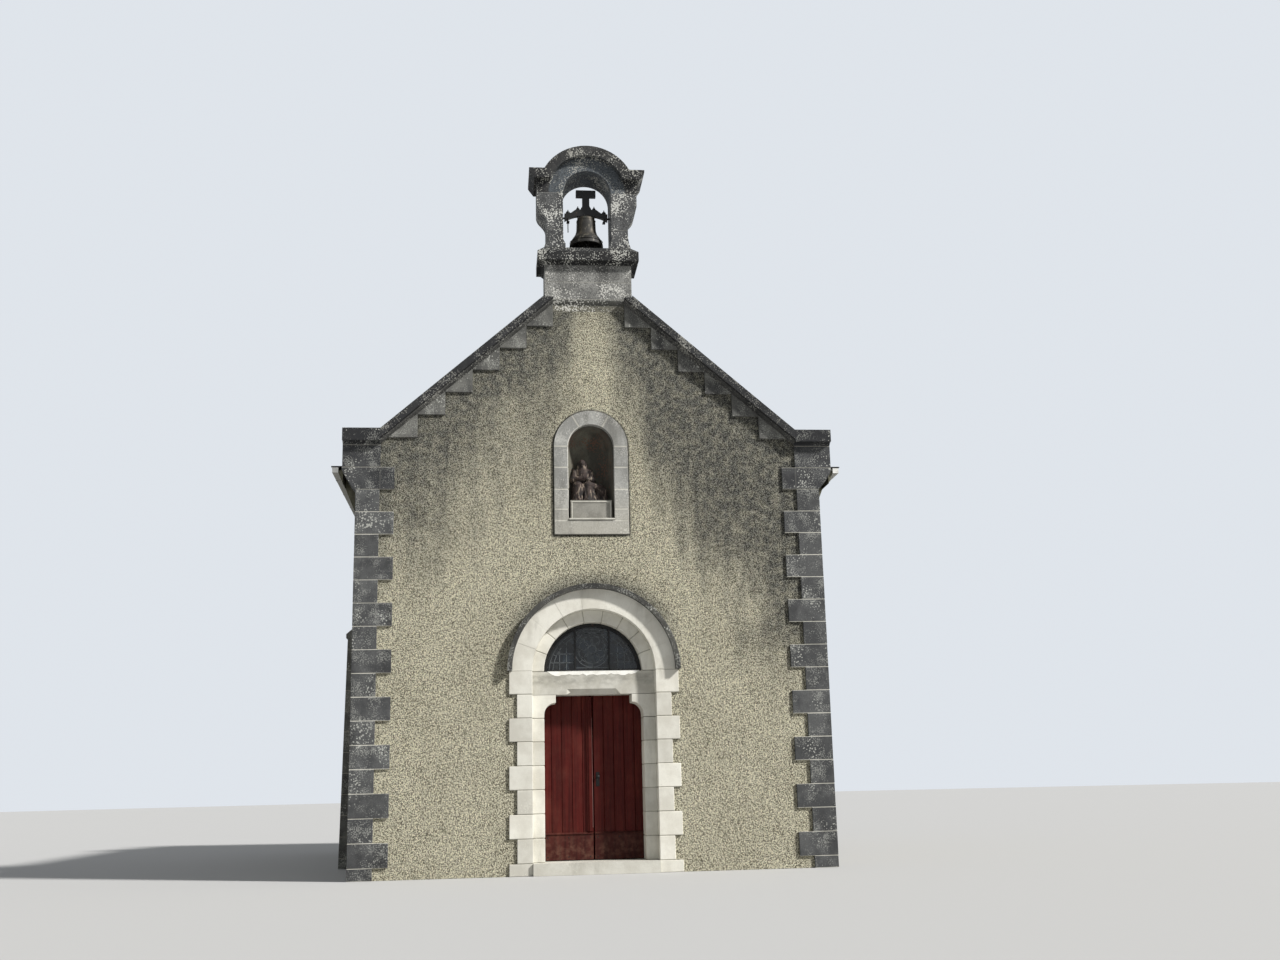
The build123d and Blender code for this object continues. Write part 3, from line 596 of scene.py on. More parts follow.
def pale_foot(finish, colour):
    """The niche's surround is washed paler towards its sill, and has a painted highlight of sunlight on its
    left reveal.
    """
    x, _, z = finish.axes()
    colour = finish.lay(colour, (190, 186, 173), finish.fall(z, 4.35, 5.1), 0.6)
    # Painted highlight: the left reveal white as if in sunlight.
    reveal = finish.fall(niche_reach(finish, x, z), 0.312, 0.318)
    reveal = finish.times(reveal, finish.math("LESS_THAN", x, -0.12))
    reveal = finish.times(reveal, finish.ramp(z, 4.78, 4.9))
    return finish.lay(colour, (222, 220, 212), reveal, 0.9)


def sooted_face(finish, colour):
    """Grey mottling along the middle of the lintel's face."""
    z = finish.axes()[2]
    band = finish.times(finish.ramp(z, 2.34, 2.42), finish.fall(z, 2.49, 2.53))
    mottle = finish.times(finish.patches(9, 0.34, 0.66, 1.6), 0.6)
    return finish.lay(colour, (132, 130, 121), band, mottle)


white_lichen = (188, 189, 182)
black_soot = (42, 42, 43)
quoin_finish = dressed_stone(
    "quoin stone", (86, 87, 87), (62, 63, 64), black_soot, (0.5, 0.68), white_lichen, 0.07, tinted=True,
    fleck=0.34)
step_finish = dressed_stone(
    "gable step stone", (114, 114, 109), (84, 84, 81), black_soot, (0.48, 0.68), white_lichen, 0.06,
    tinted=True, fleck=0.35)
coping_finish = dressed_stone(
    "blackened coping", (44, 45, 46), (27, 28, 29), (16, 16, 18), (0.46, 0.66), (158, 157, 150), 0.07,
    pit=0.006, fleck=0.55, fleck_scale=48, adjust=coping_joints)
kneeler_finish = dressed_stone(
    "kneeler stone", (70, 71, 72), (46, 47, 49), (30, 30, 32), (0.48, 0.68), white_lichen, 0.1,
    beds=(0.3, 4.95, 0.009), mortar=(150, 148, 140), pit=0.006, fleck=0.32, adjust=darker_cap)
crown_finish = dressed_stone(
    "crown stone", (58, 58, 57), (32, 32, 32), (15, 15, 16), (0.46, 0.64), (182, 181, 173), 0.06, pit=0.006,
    fleck=0.7, fleck_scale=42, adjust=crown_shade_tones)
cornice_finish = dressed_stone(
    "bell-cote cornice", (27, 28, 28), (15, 16, 16), (11, 11, 11), (0.46, 0.66), (190, 190, 183), 0.06,
    pit=0.006, fleck=0.8, fleck_scale=42)
portal_finish = dressed_stone(
    "portal stone", (220, 218, 208), (204, 201, 190), (146, 143, 132), (0.54, 0.76), (208, 206, 195), 0.0,
    tinted=True, pit=0.0025, fleck=0.05)
lintel_finish = dressed_stone(
    "lintel stone", (199, 197, 188), (177, 174, 163), (146, 143, 132), (0.54, 0.76), (190, 188, 177), 0.0,
    pit=0.0025, fleck=0.1, adjust=sooted_face)
fascia_finish = dressed_stone(
    "painted fascia", (220, 217, 206), (202, 198, 184), (150, 146, 132), (0.52, 0.74), (150, 148, 132),
    0.02, fleck=0.1)
# The eaves plaster in the olive grey it shows in shade: painted shade over a pale plaster.
shaded_soffit_finish = dressed_stone(
    "eaves plaster", (120, 117, 98), (94, 92, 75), (60, 60, 50), (0.44, 0.68), (158, 156, 140), 0.03,
    fleck=0.2)
hood_finish = dressed_stone(
    "hood stone", (80, 79, 74), (56, 55, 52), (34, 34, 33), (0.45, 0.65), white_lichen, 0.1, fleck=0.4)
niche_finish = dressed_stone(
    "niche stone", (164, 164, 160), (140, 140, 136), (98, 97, 92), (0.5, 0.72), (206, 204, 196), 0.03,
    tinted=True, pit=0.003, fleck=0.34, fleck_scale=50, adjust=pale_foot)
pedestal_finish = dressed_stone(
    "pedestal stone", (148, 146, 138), (126, 124, 117), (104, 102, 94), (0.5, 0.7), white_lichen, 0.02,
    pit=0.0025, fleck=0.25)
window_finish = dressed_stone(
    "window stone", (184, 181, 168), (160, 157, 145), (114, 112, 104), (0.5, 0.7), white_lichen, 0.04,
    tinted=True, fleck=0.2)
bellcote_finish = dressed_stone(
    "bell-cote stone", (146, 146, 142), (110, 110, 107), (50, 50, 49), (0.52, 0.7), (216, 215, 208), 0.05,
    beds=(0.25, 7.63, 0.006), mortar=(176, 174, 164), pit=0.006, fleck=0.7, fleck_scale=42,
    adjust=soot_and_shade_string)
pier_finish = dressed_stone(
    "pier stone", (92, 93, 93), (62, 63, 64), (26, 26, 27), (0.5, 0.68), (214, 214, 208), 0.05,
    beds=(0.273, 8.39, 0.005), mortar=(150, 149, 142), pit=0.006, fleck=0.75, fleck_scale=42)
buttress_finish = dressed_stone(
    "buttress stone", (120, 120, 114), (90, 90, 87), black_soot, (0.5, 0.68), white_lichen, 0.08,
    beds=(0.3, 0.15, 0.009), mortar=(164, 160, 148))
mortar_finish = dressed_stone(
    "lime mortar", (170, 167, 155), (148, 145, 134), (110, 108, 100), (0.5, 0.7), (190, 188, 176), 0.0,
    pit=0.003, fleck=0.2)
pale_mortar_finish = dressed_stone(
    "pale pointing", (204, 202, 192), (180, 178, 168), (120, 118, 110), (0.54, 0.74), (210, 208, 198), 0.0,
    pit=0.003, fleck=0.2)
roughcast = roughcast_finish()
plaster_finish = dressed_stone(
    "niche plaster", (112, 110, 98), (90, 88, 78), (52, 50, 45), (0.42, 0.62), (112, 78, 62), 0.1,
    fleck=0.3, fleck_scale=40)
black_iron = iron_finish("black iron", (30, 30, 30), (70, 48, 38), 0.6, 0.5)
lead_finish = iron_finish("lead cames", (92, 96, 98), (64, 68, 70), 0.5, 0.6)
bell_bronze = bronze_finish()
door_finish = boards_finish("door boards", (79, 25, 21), (59, 16, 14), 0.3)
kick_finish = boards_finish("kick boards", (68, 30, 26), (51, 22, 19), 0.4)
# A pale board tone for the painted highlight along the cover strip's edge.
highlight_edge_finish = boards_finish("painted highlight board edge", (128, 98, 94), (78, 40, 37), 0.5)
ridge_clay = ridge_finish()
slates = slate_finish()
fanlight_glass_finish = glass_finish("fanlight glass", 0.15, (9, 11, 14), (31, 39, 47), 0.1)
window_glass_finish = glass_finish("window glass", 0.6, (60, 68, 74), (112, 126, 130), 0.3)
gutter_finish = painted_gutter_finish()
flags_finish = flag_finish()
statue_finish = figure_finish()
rafter_finish = plain_wood_finish()


# Mesh helpers

def new_stones():
    bm = bmesh.new()
    bm.verts.layers.float.new("tint")
    return bm


def drop_in(bm, part, tint=None):
    """Adds a small finished shape to a larger one, with one tint of its own."""
    tint = random.random() if tint is None else tint
    scrap = bpy.data.meshes.new("scrap")
    bmesh.ops.recalc_face_normals(part, faces=part.faces)
    part.to_mesh(scrap)
    part.free()
    add_copy(bm, scrap, Matrix.Identity(4), tint)
    bpy.data.meshes.remove(scrap)


def add_copy(bm, mesh, matrix, tint):
    layer = bm.verts.layers.float["tint"]
    first = len(bm.verts)
    bm.from_mesh(mesh)
    bm.verts.ensure_lookup_table()
    added = bm.verts[first:]
    bmesh.ops.transform(bm, matrix=matrix, verts=added)
    for vert in added:
        vert[layer] = tint


def soften(part, width, segments=1):
    """Breaks every sharp edge of a shape by the same width."""
    sharp = [e for e in part.edges if len(e.link_faces) == 2 and e.calc_face_angle(0) > 0.5]
    if width and sharp:
        bmesh.ops.bevel(part, geom=sharp, offset=width, segments=segments, profile=0.5, affect="EDGES",
                        clamp_overlap=True, material=-1)


def squared(low, high):
    """A plain block between its lowest and its highest corner."""
    part = bmesh.new()
    bmesh.ops.create_cube(part, size=1)
    bmesh.ops.scale(part, vec=high - low, verts=part.verts)
    bmesh.ops.translate(part, vec=(low + high) / 2, verts=part.verts)
    return part


def lay_block(bm, one, other, width=arris, tint=None):
    """A squared block between two corners, with its edges broken."""
    part = squared(Vector(map(min, one, other)), Vector(map(max, one, other)))
    soften(part, width)
    drop_in(bm, part, tint)


def lay_prism(bm, outline, start, end, width=arris, sideways=False, tint=None):
    """A stone with a front-view outline from start to end in Y, or a side-view one in X."""
    part = bmesh.new()
    if sideways:
        corners = [part.verts.new((start, a, z)) for a, z in outline]
        travel = (end - start, 0, 0)
    else:
        corners = [part.verts.new((a, start, z)) for a, z in outline]
        travel = (0, end - start, 0)
    moved = bmesh.ops.extrude_face_region(part, geom=[part.faces.new(corners)])["geom"]
    moved = [g for g in moved if isinstance(g, bmesh.types.BMVert)]
    bmesh.ops.translate(part, vec=travel, verts=moved)
    bmesh.ops.recalc_face_normals(part, faces=part.faces)
    soften(part, width)
    drop_in(bm, part, tint)


def arc(middle, radius, start, end, steps):
    """Points on an arc about a middle, angles in degrees from the right."""
    turns = [radians(start + (end - start) * i / steps) for i in range(steps + 1)]
    return [(middle[0] + radius * cos(t), middle[1] + radius * sin(t)) for t in turns]


def lay_voussoirs(bm, middle, inner, outer, start, end, count, near, far, width=arris, gap=joint,
                  sideways=False, tint=None):
    """Wedge stones of a round arch, equal in angle, with a mortar joint between them."""
    each = (end - start) / count
    steps = max(2, round(each / 7))
    half_out, half_in = (gap / 2 / radius * 180 / pi for radius in (outer, inner))
    for index in range(count):
        low = start + index * each
        high = low + each
        outline = arc(middle, outer, low + half_out, high - half_out, steps)
        outline += arc(middle, inner, high - half_in, low + half_in, steps)
        lay_prism(bm, outline, near - random.uniform(0, 0.002), far, width, sideways, tint)


def ring_bar(bm, centre, axis, radius, section, steps=40, turn=2 * pi, start=(0, 0, 1)):
    """A bar of a given width and depth bent round an axis."""
    part = bmesh.new()
    bmesh.ops.create_grid(part, x_segments=1, y_segments=1, size=0.5)
    bmesh.ops.scale(part, vec=(*section, 1), verts=part.verts)
    axis, out = Vector(axis), Vector(start)
    basis = Matrix((out, axis, out.cross(axis))).transposed().to_4x4()
    place = Matrix.Translation(Vector(centre) + out * radius) @ basis
    bmesh.ops.transform(part, matrix=place, verts=part.verts)
    whole = turn == 2 * pi
    geometry = part.verts[:] + part.edges[:] + ([] if whole else part.faces[:])
    bmesh.ops.spin(part, geom=geometry, cent=centre, axis=axis, dvec=(0, 0, 0), angle=turn, steps=steps,
                   use_merge=whole, use_duplicate=False)
    if whole:
        inner = [f for f in part.faces if not all(len(e.link_faces) == 2 for e in f.edges)]
        bmesh.ops.delete(part, geom=inner, context="FACES_ONLY")
    bmesh.ops.remove_doubles(part, verts=part.verts, dist=0.0001)
    drop_in(bm, part)


def round_bar(bm, one, other, radius, end_radius=None, segments=16):
    """A straight round bar between two points, tapered if the ends differ."""
    one, other = Vector(one), Vector(other)
    end_radius = radius if end_radius is None else end_radius
    part = bmesh.new()
    bmesh.ops.create_cone(part, cap_ends=True, segments=segments, radius1=radius, radius2=end_radius,
                          depth=(other - one).length)
    turn = (other - one).to_track_quat("Z", "Y").to_matrix().to_4x4()
    bmesh.ops.transform(part, matrix=Matrix.Translation((one + other) / 2) @ turn, verts=part.verts)
    drop_in(bm, part)


def ball(bm, centre, radii, tilt=0.0, segments=20):
    """A round or longish ball, leaned about X by a tilt."""
    part = bmesh.new()
    bmesh.ops.create_uvsphere(part, u_segments=segments, v_segments=segments // 2, radius=1)
    matrix = Matrix.Translation(centre) @ Matrix.Rotation(tilt, 4, "X") @ Matrix.Diagonal((*radii, 1))
    bmesh.ops.transform(part, matrix=matrix, verts=part.verts)
    drop_in(bm, part)


def finish_piece(name, bm, material, body="chapel", smooth=None, replaced=None):
    """Makes the object, gives it its finish and sets it on its body."""
    mesh = bpy.data.meshes.new(name)
    bmesh.ops.recalc_face_normals(bm, faces=bm.faces)
    bm.to_mesh(mesh)
    bm.free()
    mesh.materials.append(material)
    if smooth is not None:
        mesh.shade_smooth()
        mesh.set_sharp_from_angle(angle=radians(smooth))
    piece = bpy.data.objects.new(name, mesh)
    bpy.context.scene.collection.objects.link(piece)
    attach(piece, body)
    if replaced:
        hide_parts(replaced)
    return piece


def bed_height(x):
    """The level of the copings' bed, a given way from the middle."""
    return bed_apex - slope * abs(x)


def course_levels(index):
    """The bottom and the top of a course; the one numbered -1 stands on the ground beside the sill."""
    low = sill_top + index * course if index >= 0 else 0
    return low, sill_top + (index + 1) * course


# Quoins and gable steps, front and rear

def quoin_stones():
    half_gap = 0.0042
    for way, end in ends:
        stones, bed = new_stones(), new_stones()
        face = way * -front
        for side in (-1, 1):
            for index in range(-1, side_courses):
                low, high = course_levels(index)
                wide, deep = (quoin_long, quoin_short) if index % 2 == 0 else (quoin_short, wall)
                inner = half_width - wide
                out = random.uniform(0, 0.003)
                lay_block(stones, (side * inner, face - way * deep, low + half_gap),
                          (side * (half_width + out / 2), face + way * out, high - half_gap), 0.004)
                lay_block(bed, (side * (inner + seat), face - way * deep, low),
                          (side * (half_width - seat), face - way * seat, high), 0)
        finish_piece(f"quoin_stones_{end}", stones, quoin_finish, replaced=f"quoins_{end}")
        finish_piece(f"quoin_mortar_{end}", bed, pale_mortar_finish)


def gable_step_stones():
    depth = 0.3
    for way, end in ends:
        stones = new_stones()
        face = way * -front
        for side in (-1, 1):
            for index in range(step_count):
                last = index == step_count - 1
                near = step_first + index * step_run
                far = near + step_run
                low = bed_height(far) - step_toe
                if last:
                    far += step_toe / slope
                outline = [(near + 0.003, bed_height(near) - 0.004), (near + 0.003, low), (far, low)]
                if not last:
                    outline.append((far, bed_height(far)))
                outline = [(side * x, z) for x, z in outline]
                out = random.uniform(0, 0.003)
                lay_prism(stones, outline, face + way * out, face - way * depth, 0.004)
        finish_piece(f"gable_step_stones_{end}", stones, step_finish,
                     replaced=f"gable_steps_{end}")


# Portal

def portal_stones():
    """The jambs: long and short stones at the face, a ring of courses behind them, and the corbels."""
    bed_in = 0.006
    rebate_half = 0.69
    half_joint = joint / 2
    for side, name in sides:
        stones, bed, infill = new_stones(), new_stones(), new_stones()
        for index in range(-1, 8):
            low, high = course_levels(index)
            edge = portal_edge if index % 2 else portal_edge - 0.1
            out = random.uniform(0, 0.002)
            foot = low + half_joint if index >= 0 else low
            lay_block(stones, (side * portal_half, front - out, foot),
                      (side * edge, inner_front, high - half_joint))
            lay_block(bed, (side * (portal_half + 0.004), front + bed_in, low),
                      (side * (edge - bed_in), inner_front, high), 0)
            if edge < portal_edge:
                lay_block(infill, (side * (edge + 0.001), front + render_set_back, low),
                          (side * portal_edge, inner_front, high), 0)
            if 0 <= index < 6:
                lay_block(stones, (side * door_half, ring_face, low + half_joint),
                          (side * (portal_half + seat), ring_back, high - half_joint))
                lay_block(bed, (side * (door_half + bed_in), ring_face + bed_in, low),
                          (side * portal_half, ring_back, high), 0)
        lay_block(stones, (side * rebate_half, ring_back + 0.001, sill_top),
                  (side * (portal_half + seat), inner_front, lintel_bottom))
        tip, curl = 0.495, 0.15
        curve = arc((tip, lintel_bottom - 0.105 - curl), curl, 90, 0, 8)
        top, bottom = lintel_bottom - half_joint, lintel_bottom - course + half_joint
        outline = [(tip, top), *curve, (door_half, bottom), (portal_half + seat, bottom),
                   (portal_half + seat, top)]
        lay_prism(stones, [(side * x, z) for x, z in outline], ring_face, ring_back, 0.004)
        finish_piece(f"jamb_mortar_{name}", bed, mortar_finish)
        finish_piece(f"jamb_stones_{name}", stones, portal_finish,
                     replaced=f"portal_jamb_{name}")
        finish_piece(f"jamb_infill_{name}", infill, roughcast)


def lintel_stone():
    """The lintel, with a stopped chamfer along the middle of its lower arris, and the wash over it."""
    chamfer = 0.07
    chamfer_half = 0.29
    stop_half = 0.35
    reach = portal_half + seat
    stones = new_stones()
    low = Vector((-reach, ring_face - 0.001, lintel_bottom))
    part = squared(low, Vector((reach, ring_back, springing - 0.004)))
    cuts = [((x, 0, 0), (1, 0, 0)) for x in (-stop_half, -chamfer_half, chamfer_half, stop_half)]
    cuts += [((0, 0, low.z + chamfer), (0, 0, 1)), ((0, low.y + chamfer, 0), (0, 1, 0))]
    for place, normal in cuts:
        geometry = part.verts[:] + part.edges[:] + part.faces[:]
        bmesh.ops.bisect_plane(part, geom=geometry, plane_co=place, plane_no=normal)
    lower = [v for v in part.verts if v.co.y < low.y + 0.001 and v.co.z < low.z + 0.001]
    lower = [v for v in lower if abs(v.co.x) < chamfer_half + 0.01]
    bmesh.ops.translate(part, vec=(0, chamfer / 2, chamfer / 2), verts=lower)
    drop_in(stones, part)
    lay_block(stones, (-reach, ring_back + 0.001, lintel_bottom + 0.04), (reach, inner_front, springing))
    finish_piece("lintel_stone", stones, lintel_finish, replaced="door_lintel")
    limewash = Finish("limewash", Roughness=0.9)
    tone = limewash.mix(limewash.patches(9, 0.4, 0.7), (246, 245, 239), (232, 230, 221))
    limewash.roughen(60, 0.003)
    finish_piece("lintel_limewash", lintel_wash(), limewash.done(tone))


def lintel_wash():
    """A band of wash with a ragged lower edge along the lintel's top, and over the top's front."""
    wash = new_stones()
    ragged = 24
    half, run = 0.6, 1.1
    outline = [(-half, springing - seat)]
    for index in range(ragged + 1):
        x = -run / 2 + index * run / ragged
        outline.append((x, springing - random.uniform(0.032, 0.062)))
    outline.append((half, springing - seat))
    face = ring_face - 0.004
    lay_prism(wash, outline, face, ring_face + 0.01, 0)
    lay_block(wash, (-half, face, springing - 0.006), (half, ring_face + 0.19, springing + seat), 0.002)
    return wash


def portal_arches():
    """The outer ring, bare over a smooth backing, and the ring behind it."""
    outer, bed, inner = new_stones(), new_stones(), new_stones()
    middle = (0, springing)
    lay_voussoirs(outer, middle, portal_half, portal_outer, 0, 180, 9, front, inner_front, 0.002, 0.004,
                  tint=0.7)
    lay_voussoirs(outer, middle, portal_half + 0.001, portal_outer - 0.001, 0, 180, 1, front + seat,
                  inner_front, 0, 0, tint=0.5)
    lay_voussoirs(inner, middle, door_half, portal_half + seat, 0, 180, 9, ring_face, ring_back)
    lay_voussoirs(bed, middle, door_half + 0.006, portal_half, 0, 180, 1, ring_face + 0.006,
                  ring_back - 0.004, 0, 0)
    finish_piece("arch_stones", outer, portal_finish, replaced="portal_arch")
    finish_piece("inner_arch_stones", inner, portal_finish, replaced="portal_inner_arch")
    finish_piece("arch_mortar", bed, mortar_finish)


# Niche and side windows

def arched_surround(stones, bed, middle, sill, spring, near, far, sideways):
    """Three arch stones, jamb stones and a sill, about an opening with a round head."""
    gap, inset = 0.011, 0.005
    back = near + (far - near) * 0.012

    def slab(bm, a, b, low, high, start, width):
        lay_prism(bm, [(a, low), (b, low), (b, high), (a, high)], start, far, width, sideways)

    lay_voussoirs(stones, (middle, spring), niche_half, niche_outer, 0, 180, 3, near, far, 0.004, gap,
                  sideways)
    lay_voussoirs(bed, (middle, spring), niche_half + inset, niche_outer - inset, 0, 180, 1, back, far, 0,
                  0, sideways)
    levels = (spring, spring - 0.289, spring - 0.59, spring - 0.86, sill)
    for side in (-1, 1):
        a, b = sorted((middle + side * niche_half, middle + side * niche_outer))
        for high, low in zip(levels, levels[1:]):
            slab(stones, a, b, low + gap / 2, high - gap / 2, near - random.uniform(0, 0.001), 0.005)
        slab(bed, a + inset, b - inset, sill, spring, back, 0)
    a, b, bottom = middle - niche_outer, middle + niche_outer, sill - niche_sill_depth
    slab(stones, a, b, bottom, sill - gap / 2, near, 0.005)
    slab(bed, a + inset, b - inset, bottom + inset, sill, back, 0)


def niche_pieces():
    stones, bed, ledge = new_stones(), new_stones(), new_stones()
    arched_surround(stones, bed, 0, niche_sill, niche_springing, front, front + 0.1, False)
    finish_piece("niche_stones", stones, niche_finish, replaced="niche_surround")
    finish_piece("niche_mortar", bed, pale_mortar_finish)
    lay_block(ledge, (-niche_half + 0.003, front - 0.016, niche_sill + 0.009),
              (niche_half - 0.003, front + 0.1, niche_sill + 0.03), 0.004)
    finish_piece("niche_ledge", ledge, pale_mortar_finish)
    finish_piece("pedestal_margin", pedestal_margin(), pale_mortar_finish)
    finish_piece("niche_lining", niche_lining(), plaster_finish, smooth=40)


def pedestal_margin():
    """A narrow raised margin round the face of the pedestal."""
    margin = new_stones()
    width = 0.014
    low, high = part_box("niche_pedestal")
    reach = min(-low.x, high.x) - 0.012
    back, foot = low.y + 0.004, low.z + 0.004
    for side in (-1, 1):
        lay_block(margin, (side * (reach - width), low.y - 0.008, foot),
                  (side * reach, back, high.z - 0.016), 0.002)
    for z in (foot, high.z - 0.03):
        lay_block(margin, (-reach, low.y - 0.009, z), (reach, back, z + width), 0.002)
    return margin


def niche_lining():
    """A thin plaster lining: half a round niche under a quarter of a ball."""
    lining = new_stones()
    radius, mouth = niche_half - 0.002, front + 0.1
    part = bmesh.new()
    profile = [part.verts.new((radius, mouth, niche_sill + 0.001))]
    for x, z in arc((0, niche_springing), radius, 0, 90, 9):
        profile.append(part.verts.new((x, mouth, z)))
    edges = [part.edges.new(pair) for pair in zip(profile, profile[1:])]
    bmesh.ops.spin(part, geom=profile + edges, cent=(0, mouth, 0), axis=(0, 0, 1), dvec=(0, 0, 0), angle=pi,
                   steps=24, use_merge=False, use_duplicate=False)
    bmesh.ops.remove_doubles(part, verts=part.verts, dist=0.0005)
    bmesh.ops.recalc_face_normals(part, faces=part.faces)
    bmesh.ops.solidify(part, geom=part.faces[:], thickness=0.004)
    drop_in(lining, part)
    return lining


def window_pieces():
    stones, bed, leads = new_stones(), new_stones(), new_stones()
    back = half_width - render_set_back - 0.25
    for side in (-1, 1):
        for bay in bay_centres():
            arched_surround(stones, bed, bay, window_sill, window_springing, side * half_width, side * back,
                            True)
            lead_grid(leads, side, bay)
    finish_piece("window_stones", stones, window_finish, replaced="window_surrounds")
    finish_piece("window_mortar", bed, pale_mortar_finish)
    finish_piece("window_leads", leads, lead_finish)


def bay_centres():
    """The middles of the windows, read off the glass's own box."""
    low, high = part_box("window_glass")
    reach = (high.y - low.y) / 2 - niche_half
    return (-reach, 0.0, reach)


def lead_grid(leads, side, bay):
    """Upright and level cames over the glass, and two heavier saddle bars."""
    near, half, spacing = side * 2.9, 0.3, 0.2
    for offset in (-0.15, 0.0, 0.15):
        top = window_springing + sqrt(half ** 2 - offset ** 2)
        lay_block(leads, (near, bay + offset - 0.005, window_sill),
                  (near + side * 0.006, bay + offset + 0.005, top), 0)
    level = window_sill + spacing
    while level < window_springing + 0.25:
        above = max(0.0, level - window_springing)
        reach = sqrt(half ** 2 - above ** 2)
        lay_block(leads, (near, bay - reach, level - 0.005),
                  (near + side * 0.007, bay + reach, level + 0.005), 0)
        level += spacing
    for level in (window_sill + 0.4, window_sill + 0.8):
        lay_block(leads, (near, bay - 0.303, level - 0.008),
                  (near + side * 0.02, bay + 0.303, level + 0.008), 0.002)


# Figure in the niche: seated, robed and veiled, with joined hands and a cloth over the knees

def seated_figure():
    bm = new_stones()
    base = Vector((-0.1, front + 0.215, niche_sill + 0.29))

    def lump(x, y, z, radii, tilt=0.0):
        ball(bm, base + Vector((x, y, z)), radii, tilt)

    def fold(one, other, wide, narrow):
        round_bar(bm, base + Vector(one), base + Vector(other), wide, narrow, 12)

    lay_block(bm, base + Vector((-0.12, 0.0, 0)), base + Vector((0.28, 0.1, 0.15)), 0.02)
    lump(0.06, 0.01, 0.04, (0.21, 0.105, 0.075))
    lump(0.0, 0.0, 0.15, (0.145, 0.1, 0.12))
    lump(-0.1, 0.03, 0.09, (0.06, 0.07, 0.1))
    for side in (-1, 1):
        fold((side * 0.08, -0.06, 0), (side * 0.07, -0.055, 0.21), 0.07, 0.058)
        lump(side * 0.07, -0.05, 0.22, (0.066, 0.066, 0.058))
        lump(side * 0.05, -0.1, 0.015, (0.03, 0.05, 0.025))
        fold((side * 0.1, 0.03, 0.44), (side * 0.13, 0.0, 0.32), 0.038, 0.044)
        fold((side * 0.13, 0.0, 0.32), (side * 0.02 + 0.03, -0.08, 0.3), 0.042, 0.027)
        lump(side * 0.13, 0.0, 0.31, (0.046, 0.05, 0.053))
        lump(0.03 + side * 0.012, -0.094, 0.312, (0.015, 0.02, 0.034), 0.5)
        fold((side * 0.115, -0.085, 0.0), (side * 0.1, -0.06, 0.2), 0.022, 0.012)
        fold((side * 0.07, -0.125, 0.0), (side * 0.06, -0.105, 0.2), 0.016, 0.01)
        fold((side * 0.025, -0.115, 0.0), (side * 0.03, -0.09, 0.19), 0.02, 0.01)
        fold((side * 0.1, 0.045, 0.46), (side * 0.13, 0.04, 0.26), 0.033, 0.046)
    fold((-0.13, -0.01, 0.0), (-0.115, 0.02, 0.3), 0.036, 0.03)
    for x, y, high, wide in ((0.13, -0.07, 0.2, 0.03), (0.19, -0.05, 0.19, 0.034),
                             (0.25, -0.02, 0.16, 0.034)):
        fold((x + 0.025, y, 0.0), (x, y + 0.02, high), wide, wide * 0.6)
    lump(0.16, -0.01, 0.2, (0.13, 0.075, 0.052))
    lump(0.25, 0.01, 0.14, (0.085, 0.07, 0.085))
    lump(0.29, 0.02, 0.06, (0.055, 0.06, 0.09))
    fold((0.06, -0.07, 0.25), (0.27, -0.02, 0.2), 0.03, 0.022)
    lump(0, 0.02, 0.34, (0.1, 0.07, 0.14))
    lump(0, 0.025, 0.435, (0.118, 0.053, 0.048))
    fold((0, 0.02, 0.44), (-0.006, 0.008, 0.515), 0.032, 0.028)
    lump(-0.008, -0.006, 0.53, (0.036, 0.043, 0.05), 0.2)
    lump(-0.008, -0.048, 0.524, (0.006, 0.011, 0.013), 0.35)
    lump(-0.008, -0.038, 0.495, (0.015, 0.013, 0.012))
    lump(-0.008, 0.014, 0.54, (0.052, 0.048, 0.056))
    for side in (-1, 1):
        lump(side * 0.05 - 0.006, 0.022, 0.487, (0.022, 0.034, 0.07))
        lump(side * 0.014 - 0.008, -0.041, 0.536, (0.009, 0.006, 0.005))
    fold((0, 0.045, 0.4), (-0.006, 0.028, 0.53), 0.098, 0.05)
    figure = finish_piece("seated_figure", bm, statue_finish, replaced="niche_statue")
    grow_together(figure)


def grow_together(figure):
    """Gives a figure one smooth skin over all its lumps and folds."""
    remesh = figure.modifiers.new("skin", "REMESH")
    remesh.mode = "VOXEL"
    remesh.voxel_size = 0.005
    smooth = figure.modifiers.new("soften", "SMOOTH")
    smooth.iterations = 3
    view = bpy.context.evaluated_depsgraph_get()
    skin = bpy.data.meshes.new_from_object(figure.evaluated_get(view))
    figure.modifiers.clear()
    figure.data = skin
    skin.shade_smooth()
    if not skin.materials:
        skin.materials.append(statue_finish)


# Doors

